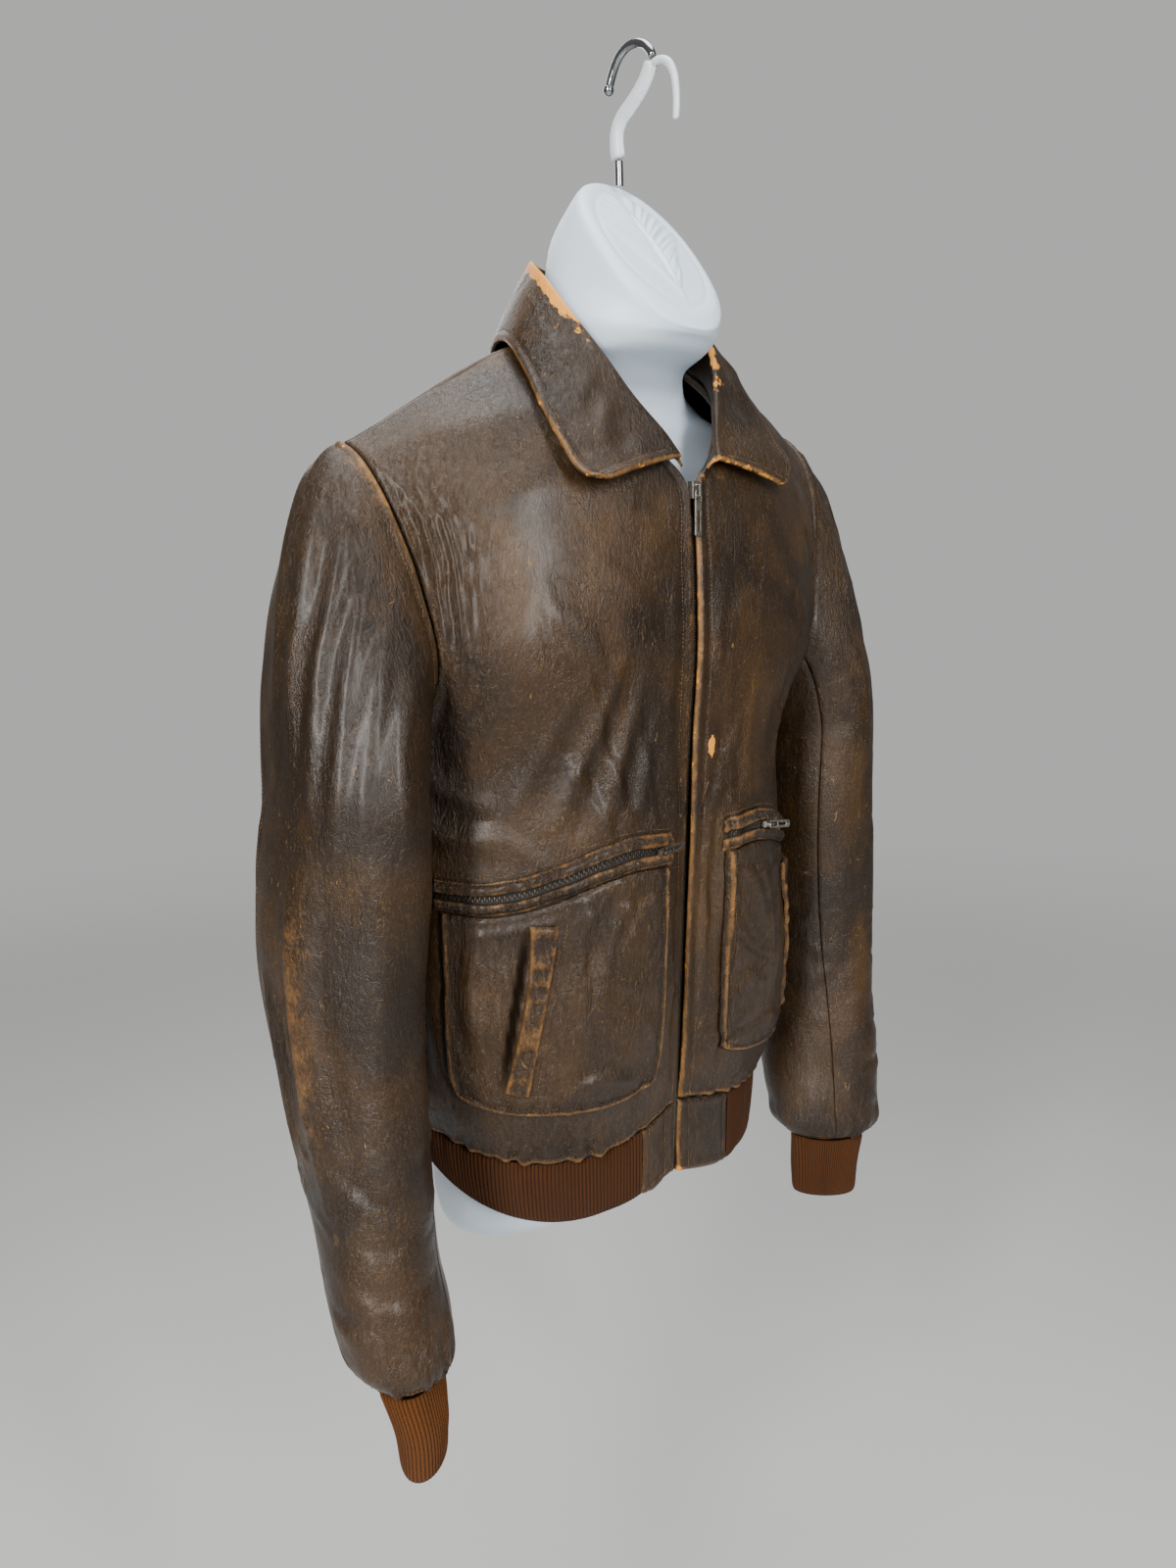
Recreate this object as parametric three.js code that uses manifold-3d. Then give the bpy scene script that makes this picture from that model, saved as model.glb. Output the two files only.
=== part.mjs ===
// Zip-front leather flight jacket on a hanging limbless torso form.
// Millimetres, +Z up, the front faces -Y, the wearer's right is -X.
// The shapes are worked out in a jacket frame whose zero is the top of the
// front zip; the exported group is shifted so that the origin is the inside
// top of the form's hanging hook.
import * as THREE from 'three';
import * as BufferGeometryUtils from 'three/addons/utils/BufferGeometryUtils.js';
import Module from 'manifold-3d';

// ---------------------------------------------------------------- dimensions
const WALL = 2.6;            // leather wall, two layers at most places
const RIB_WALL = 3.0;        // doubled rib knit
const SEAM_GAP = 0.32;       // air between sewn pieces
const FRONT_EDGE = 5;        // each front edge from the centre line
const ZIP_LENGTH = 566;      // zip from slider to hem
const RIB_DEPTH = 56;        // height of the hem rib
const CUFF_LENGTH = 72;      // length of a cuff below the sleeve
const NECK_RX = 56;          // neck of the form, half width
const WIRE_R = 3.2;          // metal hook wire
const HOOK = [0, -62, 315 - WIRE_R];   // inside top of the hook, jacket frame
const PULL_LENGTH = 34, PULL_WIDTH = 7.2, PULL_THICK = 1.5;
const TEETH_WIDTH = 6.4, TAPE_WIDTH = 15;

// ---------------------------------------------------------------- small maths
const add = (a, b) => [a[0] + b[0], a[1] + b[1], a[2] + b[2]];
const sub = (a, b) => [a[0] - b[0], a[1] - b[1], a[2] - b[2]];
const mul = (a, k) => [a[0] * k, a[1] * k, a[2] * k];
const dot = (a, b) => a[0] * b[0] + a[1] * b[1] + a[2] * b[2];
const cross = (a, b) => [a[1] * b[2] - a[2] * b[1], a[2] * b[0] - a[0] * b[2], a[0] * b[1] - a[1] * b[0]];
const unit = (a) => { const l = Math.hypot(...a) || 1; return mul(a, 1 / l); };
const mix = (a, b, t) => add(mul(a, 1 - t), mul(b, t));
const lerp = (a, b, t) => a + (b - a) * t;

// smooth curve of vectors through keys
function curveAt(keys, vals, t) {
  const n = keys.length;
  let i = 0;
  while (i < n - 2 && t >= keys[i + 1]) i++;
  const slope = (k) => {
    if (k === 0) return vals[0].map((_, c) => (vals[1][c] - vals[0][c]) / (keys[1] - keys[0]));
    if (k === n - 1) return vals[0].map((_, c) => (vals[n - 1][c] - vals[n - 2][c]) / (keys[n - 1] - keys[n - 2]));
    const wa = keys[k + 1] - keys[k], wb = keys[k] - keys[k - 1];
    return vals[0].map((_, c) => {
      const a = (vals[k][c] - vals[k - 1][c]) / wb, b = (vals[k + 1][c] - vals[k][c]) / wa;
      return (a * wa + b * wb) / (wa + wb);
    });
  };
  const h = keys[i + 1] - keys[i], s = (t - keys[i]) / h, m0 = slope(i), m1 = slope(i + 1);
  const a = 2 * s ** 3 - 3 * s ** 2 + 1, b = s ** 3 - 2 * s ** 2 + s, c = -2 * s ** 3 + 3 * s ** 2, d = s ** 3 - s ** 2;
  return vals[i].map((_, k) => a * vals[i][k] + b * h * m0[k] + c * vals[i + 1][k] + d * h * m1[k]);
}
const bez = (P0, D0, P1, D1, s) => {
  const q = 1 - s, C0 = add(P0, D0), C1 = add(P1, D1);
  return add(add(mul(P0, q ** 3), mul(C0, 3 * q * q * s)), add(mul(C1, 3 * q * s * s), mul(P1, s ** 3)));
};

// ---------------------------------------------------------------- body panels
// Each row runs from the centre (or the neckline) to the side seam or armhole:
// v, start, start handle, end, end handle. x is the distance from the centre.
const FRONT = {
  '-1': [
    [0.00, [5, -104, -504], [88, -12, -38], [186, 8, -484], [0, -76, -42]],
    [0.06, [5, -107, -478], [92, -30, -14], [198, 8, -462], [0, -84, -18]],
    [0.16, [5, -110, -430], [92, -42, 0], [202, 8, -415], [0, -84, 0]],
    [0.30, [5, -114, -345], [86, -46, 0], [203, 8, -343], [0, -80, 0]],
    [0.42, [5, -118, -270], [86, -40, 0], [202, 8, -272], [0, -80, 0]],
    [0.53, [5, -121, -195], [98, -24, 0], [196, 6, -206], [0, -80, 0]],
    [0.62, [5, -126, -130], [104, -14, 0], [198, -58, -142], [-20, -46, 2]],
    [0.72, [5, -125, -62], [104, -6, 1], [205, -56, -76], [-34, -40, 5]],
    [0.80, [5, -122, -6], [100, 2, 4], [214, -46, -34], [-48, -36, 10]],
    [0.87, [30, -114, 22], [68, 8, 0], [219, -34, -8], [-54, -26, 16]],
    [0.94, [58, -90, 62], [48, 4, -4], [223, -17, 14], [-50, -12, 22]],
    [1.00, [72, -26, 104], [44, 6, -8], [225, 0, 24], [-48, -4, 24]],
  ],
  '1': [
    [0.00, [5, -104, -504], [88, -12, -24], [186, 8, -516], [0, -76, -18]],
    [0.06, [5, -107, -478], [92, -30, -10], [198, 8, -490], [0, -84, -8]],
    [0.16, [5, -110, -430], [92, -42, 0], [202, 8, -424], [0, -84, 0]],
    [0.30, [5, -114, -345], [86, -46, 0], [203, 8, -345], [0, -80, 0]],
    [0.42, [5, -118, -270], [86, -40, 0], [202, 8, -272], [0, -80, 0]],
    [0.53, [5, -121, -195], [98, -26, 0], [196, 4, -206], [0, -82, 0]],
    [0.62, [5, -126, -130], [104, -18, 0], [194, -72, -142], [-16, -44, 2]],
    [0.72, [5, -125, -62], [104, -12, 1], [203, -78, -72], [-30, -40, 5]],
    [0.80, [5, -122, -6], [104, -6, 4], [212, -74, -22], [-46, -34, 10]],
    [0.87, [30, -114, 22], [70, 2, 6], [220, -60, 15], [-54, -26, 15]],
    [0.94, [58, -90, 62], [52, -3, 5], [226, -38, 41], [-52, -14, 22]],
    [1.00, [72, -26, 104], [48, 2, 2], [228, -14, 54], [-50, -6, 25]],
  ],
};
const BACK = {
  '-1': [
    [0.00, [0, 96, -486], [96, 6, 0], [186, 8, -484], [0, 74, 0]],
    [0.06, [0, 110, -460], [104, 6, 0], [198, 8, -462], [0, 82, 0]],
    [0.16, [0, 113, -404], [106, 4, 0], [202, 8, -415], [0, 84, 0]],
    [0.30, [0, 110, -335], [106, 4, 0], [203, 8, -343], [0, 82, 0]],
    [0.42, [0, 107, -266], [106, 4, 0], [202, 8, -272], [0, 80, 0]],
    [0.53, [0, 107, -195], [106, 2, 0], [196, 6, -206], [0, 80, 0]],
    [0.62, [0, 108, -125], [104, 2, 0], [188, 62, -138], [-18, 34, 2]],
    [0.72, [0, 105, -55], [100, 0, 1], [192, 66, -76], [-34, 26, 6]],
    [0.80, [0, 97, 8], [92, -2, 2], [202, 56, -30], [-50, 20, 14]],
    [0.87, [0, 84, 54], [84, -2, 0], [212, 40, -2], [-58, 14, 20]],
    [0.94, [0, 62, 92], [76, 0, -4], [220, 20, 16], [-60, 10, 28]],
  ],
  '1': [
    [0.00, [0, 96, -486], [96, 6, 0], [186, 8, -516], [0, 74, 6]],
    [0.06, [0, 110, -460], [104, 6, 0], [198, 8, -490], [0, 82, 6]],
    [0.16, [0, 113, -404], [106, 4, 0], [202, 8, -424], [0, 84, 0]],
    [0.30, [0, 110, -335], [106, 4, 0], [203, 8, -345], [0, 82, 0]],
    [0.42, [0, 107, -266], [106, 4, 0], [202, 8, -272], [0, 80, 0]],
    [0.53, [0, 107, -195], [106, 2, 0], [196, 4, -206], [0, 80, 0]],
    [0.62, [0, 108, -125], [104, 2, 0], [186, 54, -138], [-18, 40, 2]],
    [0.72, [0, 105, -55], [100, 0, 1], [192, 56, -68], [-34, 34, 6]],
    [0.80, [0, 97, 8], [92, -2, 2], [204, 44, -14], [-52, 28, 14]],
    [0.87, [0, 84, 54], [84, -2, 0], [216, 27, 23], [-60, 22, 17]],
    [0.94, [0, 62, 92], [76, 0, -2], [224, 7, 45], [-60, 14, 22]],
  ],
};
const NECK_BACK = [[0, 34, 116], [46, 30, 114], [72, -26, 104], [4, 34, 6]];   // centre back to the shoulder
const NB_S = 0.30;                                                            // share of the back's top row on the neckline
const rowKeys = FRONT['1'].map((r) => r[0]);

// the side seam turns into the armhole at UNDERARM, so near the edge the two
// stretches are drawn as separate curves
const UNDERARM = 0.53;
function panelAt(pts, s, v) {
  const p = curveAt(rowKeys, pts, v), w0 = Math.max(0, Math.min(1, (s - 0.55) / 0.45));
  if (!w0) return p;
  const k = rowKeys.indexOf(UNDERARM), w = w0 * w0 * (3 - 2 * w0);
  const q = v <= UNDERARM ? curveAt(rowKeys.slice(0, k + 1), pts.slice(0, k + 1), v) : curveAt(rowKeys.slice(k), pts.slice(k), v);
  return mix(p, q, w);
}
function frontAt(side, s, v) {
  const p = panelAt(FRONT[side].map((r) => bez(r[1], r[2], r[3], r[4], s)), s, v);
  return [p[0] * side, p[1], p[2]];
}
function backTop(side, s) {
  const seam = FRONT[side][FRONT[side].length - 1];
  if (s <= NB_S) {
    const q = s / NB_S;
    return bez(NECK_BACK[0], [46, 2, 0], seam[1], NECK_BACK[3], q);
  }
  return bez(seam[1], seam[2], seam[3], seam[4], (s - NB_S) / (1 - NB_S));
}
function backAt(side, s, v) {
  const p = panelAt([...BACK[side].map((r) => bez(r[1], r[2], r[3], r[4], s)), backTop(side, s)], s, v);
  return [p[0] * side, p[1], p[2]];
}

// ---------------------------------------------------------------- solids
// A wall between two grids of points A (outer) and B (inner).
function wallSolid(A, B, closed = false) {
  const n = A.length, m = A[0].length, pos = [], idx = [];
  for (const G of [A, B]) for (const col of G) for (const p of col) pos.push(...p);
  const a = (i, j) => (i % n) * m + j, b = (i, j) => n * m + (i % n) * m + j;
  const quad = (p, q, r, s) => idx.push(p, q, r, p, r, s);
  const iMax = closed ? n : n - 1;
  for (let i = 0; i < iMax; i++) for (let j = 0; j < m - 1; j++) {
    quad(a(i, j), a(i + 1, j), a(i + 1, j + 1), a(i, j + 1));
    quad(b(i, j), b(i, j + 1), b(i + 1, j + 1), b(i + 1, j));
  }
  for (let i = 0; i < iMax; i++) {
    quad(a(i, 0), b(i, 0), b(i + 1, 0), a(i + 1, 0));
    quad(a(i, m - 1), a(i + 1, m - 1), b(i + 1, m - 1), b(i, m - 1));
  }
  if (!closed) for (let j = 0; j < m - 1; j++) {
    quad(a(0, j), a(0, j + 1), b(0, j + 1), b(0, j));
    quad(a(n - 1, j), b(n - 1, j), b(n - 1, j + 1), a(n - 1, j + 1));
  }
  return solid(pos, idx);
}
function solid(pos, idx) {
  let vol = 0;
  const P = (i) => [pos[3 * i], pos[3 * i + 1], pos[3 * i + 2]];
  for (let t = 0; t < idx.length; t += 3) vol += dot(P(idx[t]), cross(P(idx[t + 1]), P(idx[t + 2])));
  if (vol < 0) for (let t = 0; t < idx.length; t += 3) [idx[t + 1], idx[t + 2]] = [idx[t + 2], idx[t + 1]];
  const g = new THREE.BufferGeometry();
  g.setAttribute('position', new THREE.Float32BufferAttribute(pos, 3));
  g.setIndex(idx);
  return g;
}
// vertex normals of a grid, pointing to the side that `out` names
function gridNormals(G, out, closed = false) {
  const n = G.length, m = G[0].length;
  const raw = G.map((col, i) => col.map((p, j) => {
    const i0 = closed ? (i + n - 1) % n : Math.max(i - 1, 0), i1 = closed ? (i + 1) % n : Math.min(i + 1, n - 1);
    const j0 = Math.max(j - 1, 0), j1 = Math.min(j + 1, m - 1);
    return unit(cross(sub(G[i1][j], G[i0][j]), sub(G[i][j1], G[i][j0])));
  }));
  // one orientation for the whole grid
  let vote = 0;
  raw.forEach((col, i) => col.forEach((k, j) => { vote += dot(k, out(G[i][j], i, j)) < 0 ? -1 : 1; }));
  return vote < 0 ? raw.map((col) => col.map((k) => mul(k, -1))) : raw;
}
// sheet with thickness t behind its visible face; rim(i,j,n) may give another direction for the rim
function sheet(G, out, t, rim = null, closed = false) {
  const N = gridNormals(G, out, closed);
  const B = G.map((col, i) => col.map((p, j) => {
    const r = rim && rim(i, j, N[i][j]);
    return sub(p, mul(r || N[i][j], t));
  }));
  return wallSolid(G, B, closed);
}
// draw the grid's first/last row or column in by the seam gap
function trim(G, { i0 = 0, i1 = 0, j0 = 0, j1 = 0 }) {
  const n = G.length, m = G[0].length, H = G.map((c) => c.map((p) => [...p]));
  const pull = (p, q, d) => add(p, mul(unit(sub(q, p)), d));
  if (j0) for (let i = 0; i < n; i++) H[i][0] = pull(H[i][0], G[i][1], j0);
  if (j1) for (let i = 0; i < n; i++) H[i][m - 1] = pull(H[i][m - 1], G[i][m - 2], j1);
  if (i0) for (let j = 0; j < m; j++) H[0][j] = add(H[0][j], mul(unit(sub(G[1][j], G[0][j])), i0));
  if (i1) for (let j = 0; j < m; j++) H[n - 1][j] = add(H[n - 1][j], mul(unit(sub(G[n - 2][j], G[n - 1][j])), i1));
  return H;
}

const root = new THREE.Group();
const jacket = new THREE.Group();
jacket.position.set(-HOOK[0], -HOOK[1], -HOOK[2]);
root.add(jacket);
const hexes = { leather: '#4b3c30', worn: '#7a5b38', rib: '#5a2c14', rust: '#7d461e', metal: '#4a4642', form: '#cddce6', tape: '#1e1a17' };
function piece(name, geometry, color, roughness = 0.55, metalness = 0, parent = jacket) {
  const mesh = new THREE.Mesh(geometry, new THREE.MeshStandardMaterial({ color: hexes[color], roughness, metalness }));
  mesh.name = name;
  parent.add(mesh);
  return mesh;
}
const sideName = { '-1': 'right', '1': 'left' };

// rows and columns shared by the neighbouring pieces
const V = [0, 0.03, 0.06, 0.11, 0.16, 0.23, 0.30, 0.36, 0.42, 0.475, 0.53, 0.575, 0.62, 0.67, 0.72, 0.76, 0.80, 0.87, 0.94, 1];
const ARM0 = V.indexOf(0.53);
const SF = [0, 0.07, 0.14, 0.24, 0.36, 0.48, 0.62, 0.76, 0.89, 1];
const SB = [0, 0.10, 0.20, ...SF.map((s) => NB_S + (1 - NB_S) * s)];
const TAB = { '-1': SF.indexOf(0.14), '1': SF.indexOf(0.24) };       // outer end of each hem tab

// armhole ring of one side: top, down the front, underarm, up the back
const armCentre = (side) => [side * 208, side < 0 ? 0 : -8, side < 0 ? -90 : -80];
function armRing(side) {
  const up = [];
  for (let j = V.length - 1; j >= ARM0; j--) up.push(frontAt(side, 1, V[j]));
  for (let j = ARM0 + 1; j < V.length - 1; j++) up.push(backAt(side, 1, V[j]));
  return up;
}
const radial = (side, p) => {
  const c = armCentre(side), d = sub(p, c);
  return unit([0, d[1], d[2]]);
};

// ---------------------------------------------------------------- fronts and back
for (const side of [-1, 1]) {
  let G = SF.map((s) => V.map((v) => frontAt(side, s, v)));
  G = trim(G, { i1: SEAM_GAP / 2 + 0.05, j1: SEAM_GAP / 2, j0: SEAM_GAP / 2, i0: 0 });
  const out = () => [side * 0.5, -1, 0.2];
  const rim = (i, j, n) => {
    if (i === SF.length - 1) return V[j] >= 0.53 ? unit(add(radial(side, frontAt(side, 1, V[j])), [0, 0, 0])) : [side, 0, 0];
    if (j === V.length - 1) return unit([0, 0.25, 1]);
    if (i === 0 && V[j] > 0.8) return unit(add(n, [0, -0.3, 0.8]));
    return null;
  };
  piece(`front_${sideName[side]}`, sheet(G, out, WALL, rim), 'leather');
}
{
  const cols = [];
  for (let i = SB.length - 1; i > 0; i--) cols.push([-1, SB[i]]);
  for (let i = 0; i < SB.length; i++) cols.push([1, SB[i]]);
  let G = cols.map(([side, s]) => V.map((v) => backAt(side, s, v)));
  G = trim(G, { i0: SEAM_GAP / 2, i1: SEAM_GAP / 2, j0: SEAM_GAP / 2, j1: SEAM_GAP / 2 });
  const out = (p) => [p[0] / 400, 1, 0.4];
  const rim = (i, j, n) => {
    const [side, s] = cols[i];
    if (s === 1) return V[j] >= 0.53 ? radial(side, backAt(side, 1, V[j])) : [side, 0, 0];
    if (j === V.length - 1) { const k = Math.min(1, s / NB_S); return unit([0, lerp(1.4, 0.25, k * k), lerp(0.9, 1, k)]); }
    return null;
  };
  piece('back', sheet(G, out, WALL, rim), 'leather');
}

// ---------------------------------------------------------------- hem rib and tabs
// The band hangs from the bottom row of the body.
const hemDrop = (side, s, back) => {          // where the band's lower edge lies
  const p = back ? backAt(side, s, 0) : frontAt(side, s, 0);
  const frontShare = Math.max(0, Math.min(1, (8 - p[1]) / 111));
  if (!back && s <= SF[TAB[side]]) return side < 0 ? 62 : 66;
  const d = side < 0 ? lerp(back ? lerp(40, 50, Math.min(1, (p[1] - 8) / 88)) : 40, RIB_DEPTH, frontShare) : lerp(back ? lerp(RIB_DEPTH + 4, 50, Math.min(1, (p[1] - 8) / 88)) : RIB_DEPTH + 4, RIB_DEPTH + 8, frontShare);
  return d;
};
function bandColumn(side, s, back, n) {
  const p = back ? backAt(side, s, 0) : frontAt(side, s, 0);
  const d = hemDrop(side, s, back), inward = unit([-p[0], -p[1] - 4, 0]);
  const col = [];
  for (let k = 0; k <= n; k++) {
    const t = k / n;
    const w = back ? 1 : Math.max(0, Math.min(1, (s - SF[TAB[side]]) / 0.16));
    col.push(add(add(p, mul(inward, lerp(0.8 * t, 1.2 + 5 * t * t, w * w * (3 - 2 * w)))), [0, 0, -SEAM_GAP - 0.5 - (d - 1) * t]));
  }
  return col;
}
{
  const cols = [];
  for (let i = TAB[-1]; i < SF.length; i++) cols.push([-1, SF[i], false]);
  for (let i = SB.length - 2; i > 0; i--) cols.push([-1, SB[i], true]);
  for (let i = 0; i < SB.length - 1; i++) cols.push([1, SB[i], true]);
  for (let i = SF.length - 1; i >= TAB[1]; i--) cols.push([1, SF[i], false]);
  let G = cols.map(([side, s, b]) => bandColumn(side, s, b, 3));
  G = trim(G, { i0: SEAM_GAP, i1: SEAM_GAP });
  piece('hem_rib', sheet(G, (p) => [p[0], p[1] + 4, 0], RIB_WALL), 'rib', 0.9);
  for (const side of [-1, 1]) {
    const T = trim(SF.slice(0, TAB[side] + 1).map((s) => bandColumn(side, s, false, 3)), { i1: SEAM_GAP + 0.25 });
    piece(`hem_tab_${sideName[side]}`, sheet(T, () => [0, -1, 0], WALL), 'leather');
  }
}

// ---------------------------------------------------------------- sleeves
// Lower rings: z, centre x, centre y, half width across x, half width across y, turn of the wide axis
const SLEEVE = {
  '-1': [
    [-225, 258, -29, 47, 76, 0], [-280, 261, -23, 49, 78, 0], [-352, 264, -22, 50, 77, -4],
    [-423, 266, -33, 48, 70, -10], [-490, 269, -52, 45, 62, -18], [-545, 271, -67, 42, 58, -28],
    [-585, 273, -84, 40, 53, -36], [-605, 273, -94, 34, 48, -40], [-616, 273, -99, 25, 36, -43],
  ],
  '1': [
    [-225, 258, -33, 48, 76, 0], [-280, 261, -28, 50, 78, 0], [-352, 263, -28, 50, 76, -4],
    [-423, 263, -36, 48, 69, -10], [-490, 261, -50, 45, 61, -18], [-545, 256, -62, 43, 58, -28],
    [-590, 250, -72, 41, 54, -36], [-612, 248, -77, 36, 50, -40], [-624, 248, -79, 26, 38, -43],
  ],
};
const CUFF = {
  '-1': [[-618.5, 273, -100, 23, 33, -43], [-645, 272, -110, 19, 31, -44], [-680, 271, -111, 16, 30, -45]],
  '1': [[-626.5, 248, -80, 24, 35, -43], [-655, 247, -80, 20, 33, -44], [-688, 246, -80, 17, 31, -45]],
};
function ringPoint(side, r, phi) {
  const th = 2 * Math.PI * phi, q = th - r[5] * Math.PI / 180;
  const rad = 1 / Math.hypot(Math.cos(q) / r[3], Math.sin(q) / r[4]);
  return [side * (r[1] + rad * Math.cos(th)), r[2] - rad * Math.sin(th), r[0]];
}
// share of the ring at each armhole vertex, from its arc length
function ringPhis(side) {
  const R = armRing(side), n = R.length, nf = V.length - ARM0, out = new Array(n).fill(0);
  let a = [0];
  for (let i = 1; i < nf; i++) a.push(a[i - 1] + Math.hypot(...sub(R[i], R[i - 1])));
  for (let i = 0; i < nf; i++) out[i] = 0.5 * a[i] / a[nf - 1];
  a = [0];
  for (let i = nf; i <= n; i++) a.push(a[a.length - 1] + Math.hypot(...sub(R[i % n], R[i - 1])));
  for (let i = nf; i < n; i++) out[i] = 0.5 + 0.5 * a[i - nf + 1] / a[a.length - 1];
  return out;
}
const CAP_T = [0, 0.14, 0.32, 0.52, 0.75];
function capPoint(side, A, phi, t) {
  const r0 = SLEEVE[side][0], B = ringPoint(side, r0, phi);
  const c = Math.cos(2 * Math.PI * phi), s = Math.sin(2 * Math.PI * phi), up = (1 + c) / 2;
  const TA = [side * lerp(10, 150, up ** 1.2), -s * 46, lerp(-26, -6, up)];
  const TB = [0, 0, -lerp(20, 290, up)];
  const a = 2 * t ** 3 - 3 * t ** 2 + 1, b = t ** 3 - 2 * t ** 2 + t, cc = -2 * t ** 3 + 3 * t ** 2, d = t ** 3 - t ** 2;
  return add(add(mul(A, a), mul(TA, b)), add(mul(B, cc), mul(TB, d)));
}
const FRONT_SEAM_V = 0.62, BACK_SEAM_V = 0.80;
for (const side of [-1, 1]) {
  const R = armRing(side), phis = ringPhis(side), nf = V.length - ARM0;
  const columns = R.map((p, k) => {
    const A = add(p, mul(unit([side, 0, -0.3]), SEAM_GAP));
    const col = CAP_T.map((t) => capPoint(side, A, phis[k], t));
    for (const r of SLEEVE[side]) col.push(ringPoint(side, r, phis[k]));
    return col;
  });
  const kf = V.length - 1 - V.indexOf(FRONT_SEAM_V);
  const kb = nf + (V.indexOf(BACK_SEAM_V) - ARM0 - 1);
  const centreAt = (p) => {
    const z = Math.min(p[2], -225), rows = SLEEVE[side];
    const keys = rows.map((r) => -r[0]);
    const c = curveAt(keys, rows.map((r) => [r[1], r[2]]), Math.min(-z, keys[keys.length - 1]));
    return p[2] > -225 ? [side * lerp(200, c[0], Math.min(1, (24 - p[2]) / 180)), c[1] + 12, Math.min(p[2], -60)] : [side * c[0], c[1], p[2]];
  };
  const out = (p) => sub(p, centreAt(p));
  const NF = gridNormals(columns, out, true);
  const make = (list, name) => {
    let G = list.map((k) => columns[k]);
    G = trim(G, { i0: SEAM_GAP / 2, i1: SEAM_GAP / 2 });
    const rim = (i, j, n) => {
      if (j === 0) return radial(side, R[list[i]]);
      return NF[list[i]][j];
    };
    piece(`${name}_${sideName[side]}`, sheet(G, out, WALL, rim), 'leather');
  };
  const top = [], under = [], n = R.length;
  for (let k = kb; k < n; k++) top.push(k);
  for (let k = 0; k <= kf; k++) top.push(k);
  for (let k = kf; k <= kb; k++) under.push(k);
  make(top, 'sleeve_top');
  make(under, 'sleeve_under');
  // rib cuff, a tube
  const C = phis.map((phi) => CUFF[side].map((r) => ringPoint(side, r, phi)));
  const cc = CUFF[side][1];
  piece(`cuff_${sideName[side]}`, sheet(C, (p) => [p[0] - side * cc[1], p[1] - cc[2], 0], RIB_WALL - 0.5, null, true), 'rust', 0.9);
}

// ---------------------------------------------------------------- collar
// Half collar from the front corner to the centre back: neck seam, fold, outer edge.
const COLLAR = [
  // neck seam,            fold,                 outer edge
  [[10, -124, 6],          [20, -127, 15],       [106, -131, -6]],
  [[20, -121, 14],         [28, -118, 31],       [113, -118, 4]],
  [[33, -114, 28],         [43, -104, 58],       [116, -100, 24]],
  [[49, -100, 49],         [59, -90, 86],        [117, -82, 48]],
  [[62, -82, 72],          [73, -76, 113],       [111, -58, 74]],
  [[68, -54, 93],          [75, -50, 143],       [99, -24, 99]],
  [[66, -16, 108],         [61, -20, 161],       [82, 10, 104]],
  [[50, 13, 115],          [41, 1, 166],         [57, 45, 99]],
  [[28, 27, 118],          [22, 11, 166],        [31, 66, 91]],
  [[0, 31, 118],           [0, 14, 165],         [0, 73, 86]],
];
function collarColumn(side, k) {
  const half = COLLAR.map((c) => c.flat());
  const c = half[k], m = (p) => [p[0] * side, p[1], p[2]];
  const N = m(c.slice(0, 3)), F = m(c.slice(3, 6)), E = add(m(c.slice(6, 9)), side > 0 && k > 0 && k < 7 ? [5, -7, 8] : k > 1 && k < 7 ? [0, -1, 1] : [0, 0, 0]);
  const away = unit([F[0], F[1] + 55, 0]);             // from the neck's axis
  const col = [N, mix(N, F, 0.55)];
  // rolled fold: three points round a small radius
  col.push(add(mix(N, F, 0.9), mul(away, 0.5)));
  col.push(add(F, mul(away, 3.6)));
  const F2 = add(add(mix(F, E, 0.14), mul(away, 3.4)), [0, 0, 1]);
  col.push(F2);
  col.push(add(mix(F, E, 0.45), add(mul(away, 4), [0, 0, 2])));
  col.push(add(mix(F, E, 0.75), add(mul(away, 2.6), [0, 0, 1.4])));
  col.push(E);
  return col;
}
{
  const cols = [];
  for (let k = 0; k < COLLAR.length; k++) cols.push(collarColumn(-1, k));
  for (let k = COLLAR.length - 2; k >= 0; k--) cols.push(collarColumn(1, k));
  const out = (p, i, j) => {
    const away = unit([p[0], p[1] + 55, 0]);
    return j < 3 ? mul(away, -1) : j === 3 ? [0, 0, 1] : add(away, [0, 0, 0.8]);
  };
  piece('collar', sheet(cols, out, WALL), 'leather');
}

// ---------------------------------------------------------------- pieces laid on a front
const normalAt = (side, s, v) => {
  const e = 1e-3, a = sub(frontAt(side, Math.min(s + e, 1), v), frontAt(side, Math.max(s - e, 0), v));
  const b = sub(frontAt(side, s, Math.min(v + e, 1)), frontAt(side, s, Math.max(v - e, 0)));
  const n = unit(cross(a, b));
  return dot(n, [side * 0.5, -1, 0]) < 0 ? mul(n, -1) : n;
};
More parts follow.
